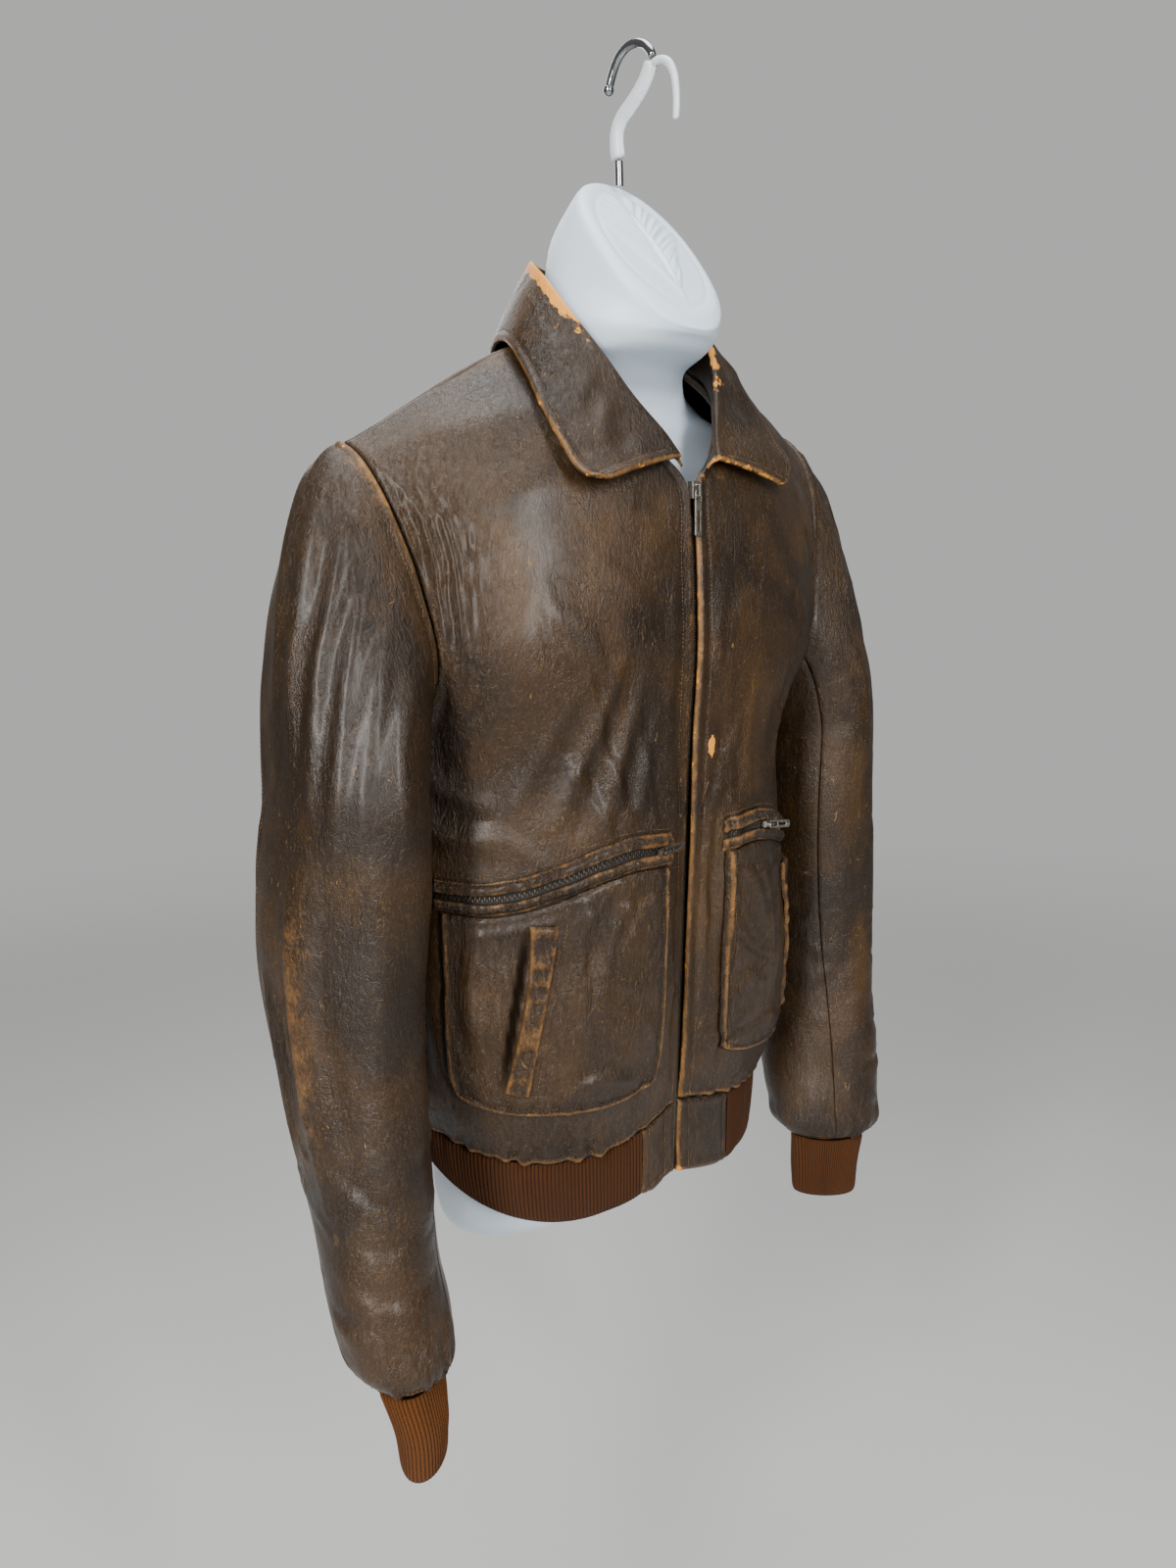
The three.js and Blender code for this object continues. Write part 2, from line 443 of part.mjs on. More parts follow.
// quadrilateral patch between four (s, v) corners, lifted off the panel
function laid(side, lo, hi, nu, nv, at) {
  const A = [], B = [];
  for (let i = 0; i <= nu; i++) {
    A.push([]); B.push([]);
    for (let j = 0; j <= nv; j++) {
      const [s, v] = at(i / nu, j / nv), p = frontAt(side, s, v), n = normalAt(side, s, v);
      A[i].push(add(p, mul(n, hi))); B[i].push(add(p, mul(n, lo)));
    }
  }
  return wallSolid(A, B);
}
const LIFT = 1.6;
for (const side of [-1, 1]) {
  const nm = sideName[side];
  // zip line of the pocket: v along s, a little lower towards the side
  const zipV = (s) => 0.405 - 0.03 * ((s - 0.09) / 0.72) + 0.012 * Math.sin((s - 0.09) / 0.72 * 2 * Math.PI);
  const S0 = 0.105, S1 = 0.80;
  const dv = (mm) => mm / 620;                 // panel height per v
  // patch pocket below the zip, rounded lower corners
  const bottom = (u) => 0.072 + 0.018 * (2 * Math.abs(u - 0.5)) ** 4;
  piece(`pocket_${nm}`, laid(side, LIFT, LIFT + WALL, 8, 7, (u, w) => {
    const inset = 0.018 * Math.max(0, 1 - w * 7);
    const s = lerp(S0 + 0.002 + inset, S1 - 0.012 - inset, u);
    const top = zipV(s) - dv(14), low = bottom(u);
    return [s, lerp(low, top, w)];
  }), 'leather');
  // two piped welts and the zip between them
  const strip = (a, b, lo, hi) => laid(side, lo, hi, 8, 1, (u, w) => {
    const s = lerp(S0, S1, u);
    return [s, zipV(s) + dv(lerp(a, b, w))];
  });
  piece(`pocket_welt_upper_${nm}`, strip(4.3, 12.3, LIFT, LIFT + 4.2), 'worn');
  piece(`pocket_welt_lower_${nm}`, strip(-12.3, -4.3, LIFT, LIFT + 4.2), 'worn');
  piece(`pocket_zip_${nm}`, strip(-3.9, 3.9, LIFT - 0.4, LIFT + 1.4), 'tape', 0.5, 0.3);
  // slanted hand-warmer welt on the patch
  const q = [[0.455, 0.335], [0.53, 0.338], [0.60, 0.105], [0.535, 0.100]];
  piece(`handwarmer_welt_${nm}`, laid(side, LIFT + WALL + 1.0, LIFT + WALL + 3.2, 2, 4, (u, w) => {
    const a = [lerp(q[3][0], q[0][0], w), lerp(q[3][1], q[0][1], w)];
    const b = [lerp(q[2][0], q[1][0], w), lerp(q[2][1], q[1][1], w)];
    return [lerp(a[0], b[0], u), lerp(a[1], b[1], u)];
  }), 'worn');
}

// ---------------------------------------------------------------- front zip
const zipY = (z) => curveAt([-570, -345, -195, -130, -62, -6], [[-103.5], [-114], [-121], [-126], [-125], [-122]], Math.max(-570, Math.min(-6, z)))[0];
function zipStrip(x0, x1, yIn, yOut, z0, z1, n) {
  const A = [], B = [];
  for (const x of [x0, x1]) {
    A.push([]); B.push([]);
    for (let j = 0; j <= n; j++) {
      const z = lerp(z0, z1, j / n), y = zipY(z);
      A[A.length - 1].push([x, y + yOut, z]); B[B.length - 1].push([x, y + yIn, z]);
    }
  }
  return wallSolid(A, B);
}
const Z0 = -ZIP_LENGTH - 6, Z1 = -10;
for (const side of [-1, 1])
  piece(`zip_tape_${sideName[side]}`, zipStrip(side * 1.2, side * (1.2 + TAPE_WIDTH), 7.7, 6.7, Z0, Z1, 12), 'tape', 0.8);
piece('zip_teeth', zipStrip(-TEETH_WIDTH / 2, TEETH_WIDTH / 2, 5.9, 3.2, Z0 + 2, Z1 - 16, 12), 'metal', 0.35, 0.9);

const box = (x0, x1, y0, y1, z0, z1) => {
  const g = new THREE.BoxGeometry(x1 - x0, y1 - y0, z1 - z0);
  g.translate((x0 + x1) / 2, (y0 + y1) / 2, (z0 + z1) / 2);
  return g;
};

// ---------------------------------------------------------------- sliders and pulls
const wasm = await Module();
wasm.setup();
function toManifold(g) {
  const h = g.clone();
  for (const k of Object.keys(h.attributes)) if (k !== 'position') h.deleteAttribute(k);
  const m = BufferGeometryUtils.mergeVertices(h, 1e-4);
  return new wasm.Manifold(new wasm.Mesh({ numProp: 3, vertProperties: m.attributes.position.array, triVerts: new Uint32Array(m.index.array) }));
}
function union(...gs) {
  let r = toManifold(gs[0]);
  for (const g of gs.slice(1)) r = r.add(toManifold(g));
  const m = r.getMesh(), out = new THREE.BufferGeometry();
  out.setAttribute('position', new THREE.BufferAttribute(new Float32Array(m.vertProperties), 3));
  out.setIndex(new THREE.BufferAttribute(new Uint32Array(m.triVerts), 1));
  return out;
}
// flat frame of a pull: local x across, local z along, local y through its thickness, zero on the cross bar
function pullGeometry(width, length, thick, bar) {
  const w = width / 2, b = bar / 2, s = new THREE.Shape();
  s.moveTo(-w, b); s.lineTo(w, b); s.lineTo(w, -length + 1.5); s.lineTo(w - 1.5, -length); s.lineTo(-w + 1.5, -length); s.lineTo(-w, -length + 1.5);
  s.closePath();
  const win = (z0, z1, x) => { const h = new THREE.Path(); h.moveTo(-x, z0); h.lineTo(-x, z1); h.lineTo(x, z1); h.lineTo(x, z0); h.closePath(); s.holes.push(h); };
  win(-b, -b - 6.4, w - 1.4);
  win(-length * 0.42, -length + 4.5, w - 2.0);
  const g = new THREE.ExtrudeGeometry(s, { depth: thick, bevelEnabled: false, steps: 1 });
  g.translate(0, 0, -thick / 2);
  g.rotateX(Math.PI / 2);
  return g;
}
// slider body with its bridge: local -y is the outside, zero is the hinge axis
function sliderGeometry(width, length, depth) {
  const body = box(-width / 2, width / 2, 1.5, 1.5 + depth, -length * 0.42, length * 0.58);
  const s = new THREE.Shape();             // side view, local y as u and z as v
  const out = -2.5, inn = 1.9, z0 = -length * 0.32, z1 = length * 0.40;
  s.moveTo(inn, z0); s.lineTo(inn, z0 + 1.3); s.lineTo(out + 1.1, z0 + 1.3); s.lineTo(out + 1.1, z1 - 1.3); s.lineTo(inn, z1 - 1.3); s.lineTo(inn, z1);
  s.lineTo(out + 0.6, z1); s.lineTo(out, z1 - 0.6); s.lineTo(out, z0 + 0.6); s.lineTo(out + 0.6, z0); s.closePath();
  const g = new THREE.ExtrudeGeometry(s, { depth: 2.2, bevelEnabled: false, steps: 1 });
  g.translate(0, 0, -1.1);
  g.applyMatrix4(new THREE.Matrix4().set(0, 0, 1, 0, 1, 0, 0, 0, 0, 1, 0, 0, 0, 0, 0, 1));
  return union(body, g);
}
const MAIN_PIVOT = [0, zipY(-8) - 5.4, -9.6];
{
  const m = piece('zip_slider', sliderGeometry(8.4, 13, 5.4), 'metal', 0.35, 0.9);
  m.position.set(...MAIN_PIVOT);
  const p = piece('zip_pull', pullGeometry(PULL_WIDTH, PULL_LENGTH, PULL_THICK, 1.5), 'metal', 0.35, 0.9);
  p.position.set(...MAIN_PIVOT);
}
// pocket sliders: s on the zip, where the pull points and how far it is lifted
const POCKET_SLIDER = { '-1': [0.150, -1, 0], '1': [0.300, 1, 26] };
for (const side of [-1, 1]) {
  const [s, way, lift] = POCKET_SLIDER[side];
  const v = 0.405 - 0.03 * ((s - 0.09) / 0.72) + 0.012 * Math.sin((s - 0.09) / 0.72 * 2 * Math.PI);
  const p = frontAt(side, s, v), n = normalAt(side, s, v);
  const q = frontAt(side, s + 0.02, v - 0.03 / 0.72 * 0.02);
  let t = unit(sub(q, p)); t = unit(sub(t, mul(n, dot(t, n))));
  const dir = mul(t, way);                    // the pull's direction along the zip
  const zA = mul(dir, -1), yA = mul(n, -1), xA = cross(yA, zA);
  const M = new THREE.Matrix4().set(xA[0], yA[0], zA[0], 0, xA[1], yA[1], zA[1], 0, xA[2], yA[2], zA[2], 0, 0, 0, 0, 1);
  const pivot = add(p, mul(n, LIFT + 6.2));
  const q4 = new THREE.Quaternion().setFromRotationMatrix(M);
  const m = piece(`pocket_slider_${sideName[side]}`, sliderGeometry(5.4, 11, 3.0), 'metal', 0.35, 0.9);
  m.position.set(...pivot); m.quaternion.copy(q4);
  const tilt = new THREE.Quaternion().setFromAxisAngle(new THREE.Vector3(1, 0, 0), -lift * Math.PI / 180);
  const pl = piece(`pocket_pull_${sideName[side]}`, pullGeometry(6.4, 21, 1.4, 1.4), 'metal', 0.35, 0.9);
  pl.position.set(...pivot); pl.quaternion.copy(q4).multiply(tilt);
}

// ---------------------------------------------------------------- torso form and its hook
// rings: centre y, centre z, half width, half depth front, half depth back, tilt in degrees (front down)
const FORM = [
  [-2, -618, 108, 44, 44, -15], [-2, -614, 132, 62, 64, -14], [-3, -599, 152, 74, 78, -12], [-4, -572, 162, 80, 84, -8],
  [-5, -520, 163, 82, 86, -2], [-4, -440, 156, 86, 92, 0], [-4, -360, 148, 90, 92, 0], [-4, -260, 158, 95, 94, 0],
  [-4, -160, 174, 99, 96, 0], [-3, -90, 184, 100, 94, 0], [-1, -40, 192, 92, 84, 0], [2, 0, 192, 80, 72, 0],
  [2, 22, 182, 74, 62, 0], [0, 42, 160, 70, 52, 0], [-6, 60, 116, 58, 42, 0], [-18, 76, 82, 52, 40, 0],
  [-32, 88, 64, 54, 42, 0], [-46, 98, 57, 60, 50, 5], [-56, 118, 58, 66, 66, 15], [-59, 134.5, 57.5, 72.2, 72.2, 25.9],
  [-63, 148, 57.5, 76.5, 76.5, 34], [-72, 158.5, 57.5, 75.5, 75.5, 43.3], [-79.5, 166.5, 55.8, 73, 73, 50.9],
  [-81, 169, 50, 66, 66, 51],
];
{
  const N = 28, pos = [], idx = [];
  for (const [cy, cz, a, bf, bb, tilt] of FORM) for (let i = 0; i < N; i++) {
    const th = 2 * Math.PI * i / N, c = Math.cos(th), s = Math.sin(th);
    const e = 2 / 2.25, X = a * Math.sign(c) * Math.abs(c) ** e, Y = (s < 0 ? bf : bb) * Math.sign(s) * Math.abs(s) ** e;
    const t = tilt * Math.PI / 180;
    pos.push(X, cy + Y * Math.cos(t), cz + Y * Math.sin(t));
  }
  const R = FORM.length;
  for (let j = 0; j < R - 1; j++) for (let i = 0; i < N; i++) {
    const a = j * N + i, b = j * N + (i + 1) % N;
    idx.push(a, b, b + N, a, b + N, a + N);
  }
  const bot = pos.length / 3; pos.push(0, FORM[0][0], FORM[0][1]);
  const top = bot + 1; pos.push(0, -81.5, 170.2);
  for (let i = 0; i < N; i++) {
    idx.push(bot, (i + 1) % N, i);
    idx.push(top, (R - 1) * N + i, (R - 1) * N + (i + 1) % N);
  }
  piece('torso_form', solid(pos, idx), 'form', 0.35);
}
function tube(points, rx, ry, steps, sides) {
  const path = new THREE.CatmullRomCurve3(points.map(([y, z]) => new THREE.Vector3(0, y, z)), false, 'centripetal');
  const sh = new THREE.Shape();
  for (let i = 0; i < sides; i++) {
    const a = 2 * Math.PI * i / sides;
    i ? sh.lineTo(rx * Math.cos(a), ry * Math.sin(a)) : sh.moveTo(rx, 0);
  }
  sh.closePath();
  return new THREE.ExtrudeGeometry(sh, { steps, bevelEnabled: false, extrudePath: path });
}
const ball = (y, z, r) => { const g = new THREE.SphereGeometry(r, 12, 8); g.translate(0, y, z); return g; };
piece('hook_rod', tube([[-47, 219], [-47, 226], [-46.6, 238.6]], WIRE_R, WIRE_R, 2, 8), 'metal', 0.25, 1);
piece('hook_sleeve', union(
  tube([[-46.5, 239.2], [-44.8, 250], [-45.5, 259], [-50, 266.5], [-59, 273], [-67, 279], [-74, 286], [-79, 293], [-81, 298.4]], 4.6, 6.6, 16, 12),
  tube([[-79, 290], [-84, 296], [-91, 296.5], [-98, 293], [-103, 285], [-105.5, 274], [-106, 264], [-105.4, 253]], 3.0, 3.4, 14, 10)), 'form', 0.3);
piece('hook_wire', union(
  tube([[-82.2, 300.6], [-80.8, 304.4], [-75, 310.8], [-68, 314.3], [-62, 315], [-56, 314.3], [-49, 310.8], [-44, 305.5], [-40, 298.5], [-37, 291.5]], WIRE_R, WIRE_R, 18, 8),
  ball(-36.4, 290, 4.1)), 'metal', 0.25, 1);

export default root;
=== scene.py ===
# Looks of a worn zip-front leather jacket filled out on a hanging white torso form.
# Shapes are worked out in a jacket frame (millimetres, zero at the top of the front
# zip, x = 0 the mid-plane, front facing -Y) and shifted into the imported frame.
import math
import bpy
import numpy as np
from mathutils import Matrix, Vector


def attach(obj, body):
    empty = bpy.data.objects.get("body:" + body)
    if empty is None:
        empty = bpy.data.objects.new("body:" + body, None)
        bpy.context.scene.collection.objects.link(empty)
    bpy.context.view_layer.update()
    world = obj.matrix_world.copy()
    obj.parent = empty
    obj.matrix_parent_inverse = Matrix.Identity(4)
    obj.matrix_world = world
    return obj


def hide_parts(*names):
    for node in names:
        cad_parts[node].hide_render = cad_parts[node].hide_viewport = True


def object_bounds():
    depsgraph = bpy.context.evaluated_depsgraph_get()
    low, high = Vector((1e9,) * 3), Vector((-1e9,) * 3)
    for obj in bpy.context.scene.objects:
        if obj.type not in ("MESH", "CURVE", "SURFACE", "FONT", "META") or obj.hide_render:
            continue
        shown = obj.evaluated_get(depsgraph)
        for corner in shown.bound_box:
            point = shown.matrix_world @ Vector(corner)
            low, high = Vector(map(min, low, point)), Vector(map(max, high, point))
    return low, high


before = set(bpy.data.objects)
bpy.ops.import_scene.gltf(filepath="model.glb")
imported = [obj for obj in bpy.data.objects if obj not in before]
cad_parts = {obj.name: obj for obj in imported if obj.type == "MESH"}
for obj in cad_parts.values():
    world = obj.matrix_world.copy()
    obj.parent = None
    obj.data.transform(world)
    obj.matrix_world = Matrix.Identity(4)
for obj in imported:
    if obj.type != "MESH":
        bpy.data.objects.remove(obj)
cad_box = [[float(c) for c in p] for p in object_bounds()]
ROOT = "jacket_and_form"
SHIFT = np.array([0.0, 62.0, -311.8])
BODY = {-1: "right", 1: "left"}
rng = np.random.default_rng(11)

# ------------------------------------------------------------------ maths
def unit(a):
    return a / np.maximum(np.linalg.norm(a, axis=-1, keepdims=True), 1e-9)

def smooth(a, b, x):
    t = np.clip((x - a) / (b - a), 0, 1)
    return t * t * (3 - 2 * t)

def bump(x, c, w):
    return np.exp(-((x - c) / w) ** 2)

def lerp(a, b, t):
    return a + (b - a) * t

def curve(keys, vals, t):
    """smooth curve through vals (K, N, C) at keys; t is (N,)"""
    keys = np.asarray(keys, float); K = len(keys); n = np.arange(len(t))
    g = np.diff(keys).reshape(-1, 1, 1)
    d = np.diff(vals, axis=0) / g
    m = np.empty_like(vals); m[0] = d[0]; m[-1] = d[-1]
    if K > 2:
        m[1:-1] = (d[:-1] * g[1:] + d[1:] * g[:-1]) / (g[1:] + g[:-1])
    i = np.clip(np.searchsorted(keys, t, side="right") - 1, 0, K - 2)
    h = (keys[i + 1] - keys[i])[:, None]
    s = ((t - keys[i]) / h[:, 0])[:, None]
    a, b, c, e = 2 * s**3 - 3 * s**2 + 1, s**3 - 2 * s**2 + s, -2 * s**3 + 3 * s**2, s**3 - s**2
    return a * vals[i, n] + b * h * m[i, n] + c * vals[i + 1, n] + e * h * m[i + 1, n]

def bez(r, S):
    P0, D0, P1, D1 = [np.array(x, float) for x in r]
    s = S[:, None]; q = 1 - s
    return P0 * q**3 + (P0 + D0) * 3 * q * q * s + (P1 + D1) * 3 * q * s * s + P1 * s**3

def ripple(P, seed, wave, n=7):
    """gentle seeded undulation of points P, about -1..1"""
    r = np.random.default_rng(seed)
    h = 0
    for _ in range(n):
        k = unit(r.normal(size=3)) * 2 * math.pi / (wave * r.uniform(0.7, 1.5))
        h = h + np.sin(P @ k + r.uniform(0, 6.28) + 1.3 * np.sin(P @ np.roll(k, 1) * 0.6 + r.uniform(0, 6.28)))
    return h / (n ** 0.5 * 1.2)

# ------------------------------------------------------------------ body panels
FRONT = {
    -1: [
        [0.00, [5, -104, -504], [88, -12, -38], [186, 8, -484], [0, -76, -42]],
        [0.06, [5, -107, -478], [92, -30, -14], [198, 8, -462], [0, -84, -18]],
        [0.16, [5, -110, -430], [92, -42, 0], [202, 8, -415], [0, -84, 0]],
        [0.30, [5, -114, -345], [86, -46, 0], [203, 8, -343], [0, -80, 0]],
        [0.42, [5, -118, -270], [86, -40, 0], [202, 8, -272], [0, -80, 0]],
        [0.53, [5, -121, -195], [98, -24, 0], [196, 6, -206], [0, -80, 0]],
        [0.62, [5, -126, -130], [104, -14, 0], [198, -58, -142], [-20, -46, 2]],
        [0.72, [5, -125, -62], [104, -6, 1], [205, -56, -76], [-34, -40, 5]],
        [0.80, [5, -122, -6], [100, 2, 4], [214, -46, -34], [-48, -36, 10]],
        [0.87, [30, -114, 22], [68, 8, 0], [219, -34, -8], [-54, -26, 16]],
        [0.94, [58, -90, 62], [48, 4, -4], [223, -17, 14], [-50, -12, 22]],
        [1.00, [72, -26, 104], [44, 6, -8], [225, 0, 24], [-48, -4, 24]],
    ],
    1: [
        [0.00, [5, -104, -504], [88, -12, -24], [186, 8, -516], [0, -76, -18]],
        [0.06, [5, -107, -478], [92, -30, -10], [198, 8, -490], [0, -84, -8]],
        [0.16, [5, -110, -430], [92, -42, 0], [202, 8, -424], [0, -84, 0]],
        [0.30, [5, -114, -345], [86, -46, 0], [203, 8, -345], [0, -80, 0]],
        [0.42, [5, -118, -270], [86, -40, 0], [202, 8, -272], [0, -80, 0]],
        [0.53, [5, -121, -195], [98, -26, 0], [196, 4, -206], [0, -82, 0]],
        [0.62, [5, -126, -130], [104, -18, 0], [194, -72, -142], [-16, -44, 2]],
        [0.72, [5, -125, -62], [104, -12, 1], [203, -78, -72], [-30, -40, 5]],
        [0.80, [5, -122, -6], [104, -6, 4], [212, -74, -22], [-46, -34, 10]],
        [0.87, [30, -114, 22], [70, 2, 6], [220, -60, 15], [-54, -26, 15]],
        [0.94, [58, -90, 62], [52, -3, 5], [226, -38, 41], [-52, -14, 22]],
        [1.00, [72, -26, 104], [48, 2, 2], [228, -14, 54], [-50, -6, 25]],
    ],
}
BACK = {
    -1: [
        [0.00, [0, 96, -486], [96, 6, 0], [186, 8, -484], [0, 74, 0]],
        [0.06, [0, 110, -460], [104, 6, 0], [198, 8, -462], [0, 82, 0]],
        [0.16, [0, 113, -404], [106, 4, 0], [202, 8, -415], [0, 84, 0]],
        [0.30, [0, 110, -335], [106, 4, 0], [203, 8, -343], [0, 82, 0]],
        [0.42, [0, 107, -266], [106, 4, 0], [202, 8, -272], [0, 80, 0]],
        [0.53, [0, 107, -195], [106, 2, 0], [196, 6, -206], [0, 80, 0]],
        [0.62, [0, 108, -125], [104, 2, 0], [188, 62, -138], [-18, 34, 2]],
        [0.72, [0, 105, -55], [100, 0, 1], [192, 66, -76], [-34, 26, 6]],
        [0.80, [0, 97, 8], [92, -2, 2], [202, 56, -30], [-50, 20, 14]],
        [0.87, [0, 84, 54], [84, -2, 0], [212, 40, -2], [-58, 14, 20]],
        [0.94, [0, 62, 92], [76, 0, -4], [220, 20, 16], [-60, 10, 28]],
    ],
    1: [
        [0.00, [0, 96, -486], [96, 6, 0], [186, 8, -516], [0, 74, 6]],
        [0.06, [0, 110, -460], [104, 6, 0], [198, 8, -490], [0, 82, 6]],
        [0.16, [0, 113, -404], [106, 4, 0], [202, 8, -424], [0, 84, 0]],
        [0.30, [0, 110, -335], [106, 4, 0], [203, 8, -345], [0, 82, 0]],
        [0.42, [0, 107, -266], [106, 4, 0], [202, 8, -272], [0, 80, 0]],
        [0.53, [0, 107, -195], [106, 2, 0], [196, 4, -206], [0, 80, 0]],
        [0.62, [0, 108, -125], [104, 2, 0], [186, 54, -138], [-18, 40, 2]],
        [0.72, [0, 105, -55], [100, 0, 1], [192, 56, -68], [-34, 34, 6]],
        [0.80, [0, 97, 8], [92, -2, 2], [204, 44, -14], [-52, 28, 14]],
        [0.87, [0, 84, 54], [84, -2, 0], [216, 27, 23], [-60, 22, 17]],
        [0.94, [0, 62, 92], [76, 0, -2], [224, 7, 45], [-60, 14, 22]],
    ],
}
NECK_BACK = [[0, 34, 116], [46, 30, 114], [72, -26, 104], [4, 34, 6]]
NB_S = 0.30
RK = [r[0] for r in FRONT[1]]
W_PANEL, H_PANEL = 262.0, 640.0

def panel(pts, S, V):
    p = curve(RK, pts, V)
    w = smooth(0.55, 1.0, S)[:, None]
    k = RK.index(0.53)
    lo, hi = curve(RK[:k + 1], pts[:k + 1], np.minimum(V, 0.53)), curve(RK[k:], pts[k:], np.maximum(V, 0.53))
    q = np.where((V <= 0.53)[:, None], lo, hi)
    return p * (1 - w) + q * w

def flat2(S, V):
    S, V = np.broadcast_arrays(np.asarray(S, float), np.asarray(V, float))
    return S.ravel(), V.ravel(), S.shape

def front0(side, S, V):
    S, V, sh = flat2(S, V)
    p = panel(np.stack([bez(r[1:], S) for r in FRONT[side]]), S, V)
    p[:, 0] *= side
    return p.reshape(*sh, 3)

def back0(side, S, V):
    S, V, sh = flat2(S, V)
    seam = FRONT[side][-1]
    q = np.clip(S / NB_S, 0, 1)
    t = bez([NECK_BACK[0], [46, 2, 0], seam[1], NECK_BACK[3]], q)
    u = bez(seam[1:], np.clip((S - NB_S) / (1 - NB_S), 0, 1))
    top = np.where((S <= NB_S)[:, None], t, u)
    p = panel(np.stack([*[bez(r[1:], S) for r in BACK[side]], top]), S, V)
    p[:, 0] *= side
    return p.reshape(*sh, 3)

def frame_of(f, side, S, V, sign):
    """base point, normal and mm per unit of s and v"""
    e = 2e-3
    S, V = np.broadcast_arrays(np.asarray(S, float), np.asarray(V, float))
    s0, s1, v0, v1 = np.clip(S - e, 0, 1), np.clip(S + e, 0, 1), np.clip(V - e, 0, 1), np.clip(V + e, 0, 1)
    a = (f(side, s1, V) - f(side, s0, V)) / (s1 - s0)[..., None]
    b = (f(side, S, v1) - f(side, S, v0)) / (v1 - v0)[..., None]
    n = unit(np.cross(a, b)) * sign
    return f(side, S, V), n, np.linalg.norm(a, axis=-1), np.linalg.norm(b, axis=-1)

def creases(X, Y, rows):
    """each row: points, height, half width, and optional second lobe; X, Y, points in mm"""
    h = np.zeros_like(X)
    for row in rows:
        pts, amp, w = np.array(row[0], float), row[1], row[2]
        lobe = row[3] if len(row) > 3 else 0.0
        # densify into a smooth line
        if len(pts) > 2:
            t = np.linspace(0, 1, 13); k = np.linspace(0, 1, len(pts))
            pts = curve(k, np.repeat(pts[:, None, :], 13, 1), t)
        seg = np.linalg.norm(np.diff(pts, axis=0), axis=1); L = seg.sum(); acc = 0.0
        best = np.full(X.shape, 1e9); sgn = np.zeros_like(X); par = np.zeros_like(X)
        lo, hi = pts.min(0) - 4 * w, pts.max(0) + 4 * w
        near = (X > lo[0]) & (X < hi[0]) & (Y > lo[1]) & (Y < hi[1])
        if not near.any():
            continue
        x, y = X[near], Y[near]
        bb, ss, pp = np.full(x.shape, 1e9), np.zeros(x.shape), np.zeros(x.shape)
        for a, b, l in zip(pts[:-1], pts[1:], seg):
            d = (b - a) / max(l, 1e-6)
            t = np.clip((x - a[0]) * d[0] + (y - a[1]) * d[1], 0, l)
            dx, dy = x - a[0] - t * d[0], y - a[1] - t * d[1]
            dist = np.hypot(dx, dy); c = dist < bb
            bb = np.where(c, dist, bb); ss = np.where(c, d[0] * dy - d[1] * dx, ss); pp = np.where(c, (acc + t) / L, pp)
            acc += l
        end = np.sin(np.pi * np.clip(pp, 0.0, 1.0)) ** 0.7
        z = amp * (np.exp(1.9 * (0.35 - np.sqrt((bb / w) ** 2 + 0.1225))) if lobe else np.exp(-(bb / w) ** 2))
        if lobe:
            z = z - lobe * amp * np.exp(-((np.sign(ss) * bb - 1.7 * w) / (1.1 * w)) ** 2)
        h[near] += z * end
    return h

def seam(d, roll=1.5, ridge=0.8, at=4.0, w=2.6, stitch=8.0, dip=0.55):
    return -roll * np.exp(-(d / 1.5) ** 2) + ridge * np.exp(-((d - at) / w) ** 2) - dip * np.exp(-((d - stitch) / 1.3) ** 2)

def gathers(seed, x0, x1, y0, reach, pitch, amp, w):
    """short folds running from the line y0 over x0..x1"""
    r = np.random.default_rng(seed); rows = []; x = x0
    while x < x1:
        L = reach * r.uniform(0.45, 1.25); dx = r.uniform(-0.25, 0.25) * abs(L)
        a = amp * r.uniform(0.12, 1.25)
        rows.append(([(x, y0 - 0.9 * L), (x + 0.2 * dx, y0), (x + dx, y0 + L)], a, w * r.uniform(0.8, 1.3)))
        rows.append(([(x + pitch * 0.5, y0 - 0.7 * L), (x + pitch * 0.5, y0), (x + pitch * 0.5 - dx, y0 + 0.7 * L)], -0.8 * a, w * 0.9))
        x += pitch * r.uniform(0.6, 1.75)
    return rows

def crinkles(seed, n, x0, x1, y0, y1, way=90, spread=35, amp=0.9, size=(22, 70)):
    """seeded short wrinkles scattered over a panel"""
    r = np.random.default_rng(seed); rows = []
    for _ in range(n):
        x, y, a = r.uniform(x0, x1), r.uniform(y0, y1), math.radians(way + r.normal() * spread)
        L = r.uniform(*size); k = r.uniform(-0.22, 0.22) * L; d = np.array([math.cos(a), math.sin(a)]); q = np.array([-d[1], d[0]])
        m = np.array([x, y])
        rows.append(([tuple(m - d * L / 2), tuple(m + q * k), tuple(m + d * L / 2)], amp * r.uniform(0.4, 1.2) * (1 if r.random() < 0.6 else -1), r.uniform(2.4, 5.0), 0.5))
    return rows

def mm(rows):
    """creases given on a panel in shares of its width and height"""
    return [([(s * W_PANEL, v * H_PANEL) for s, v in r[0]], *r[1:]) for r in rows]

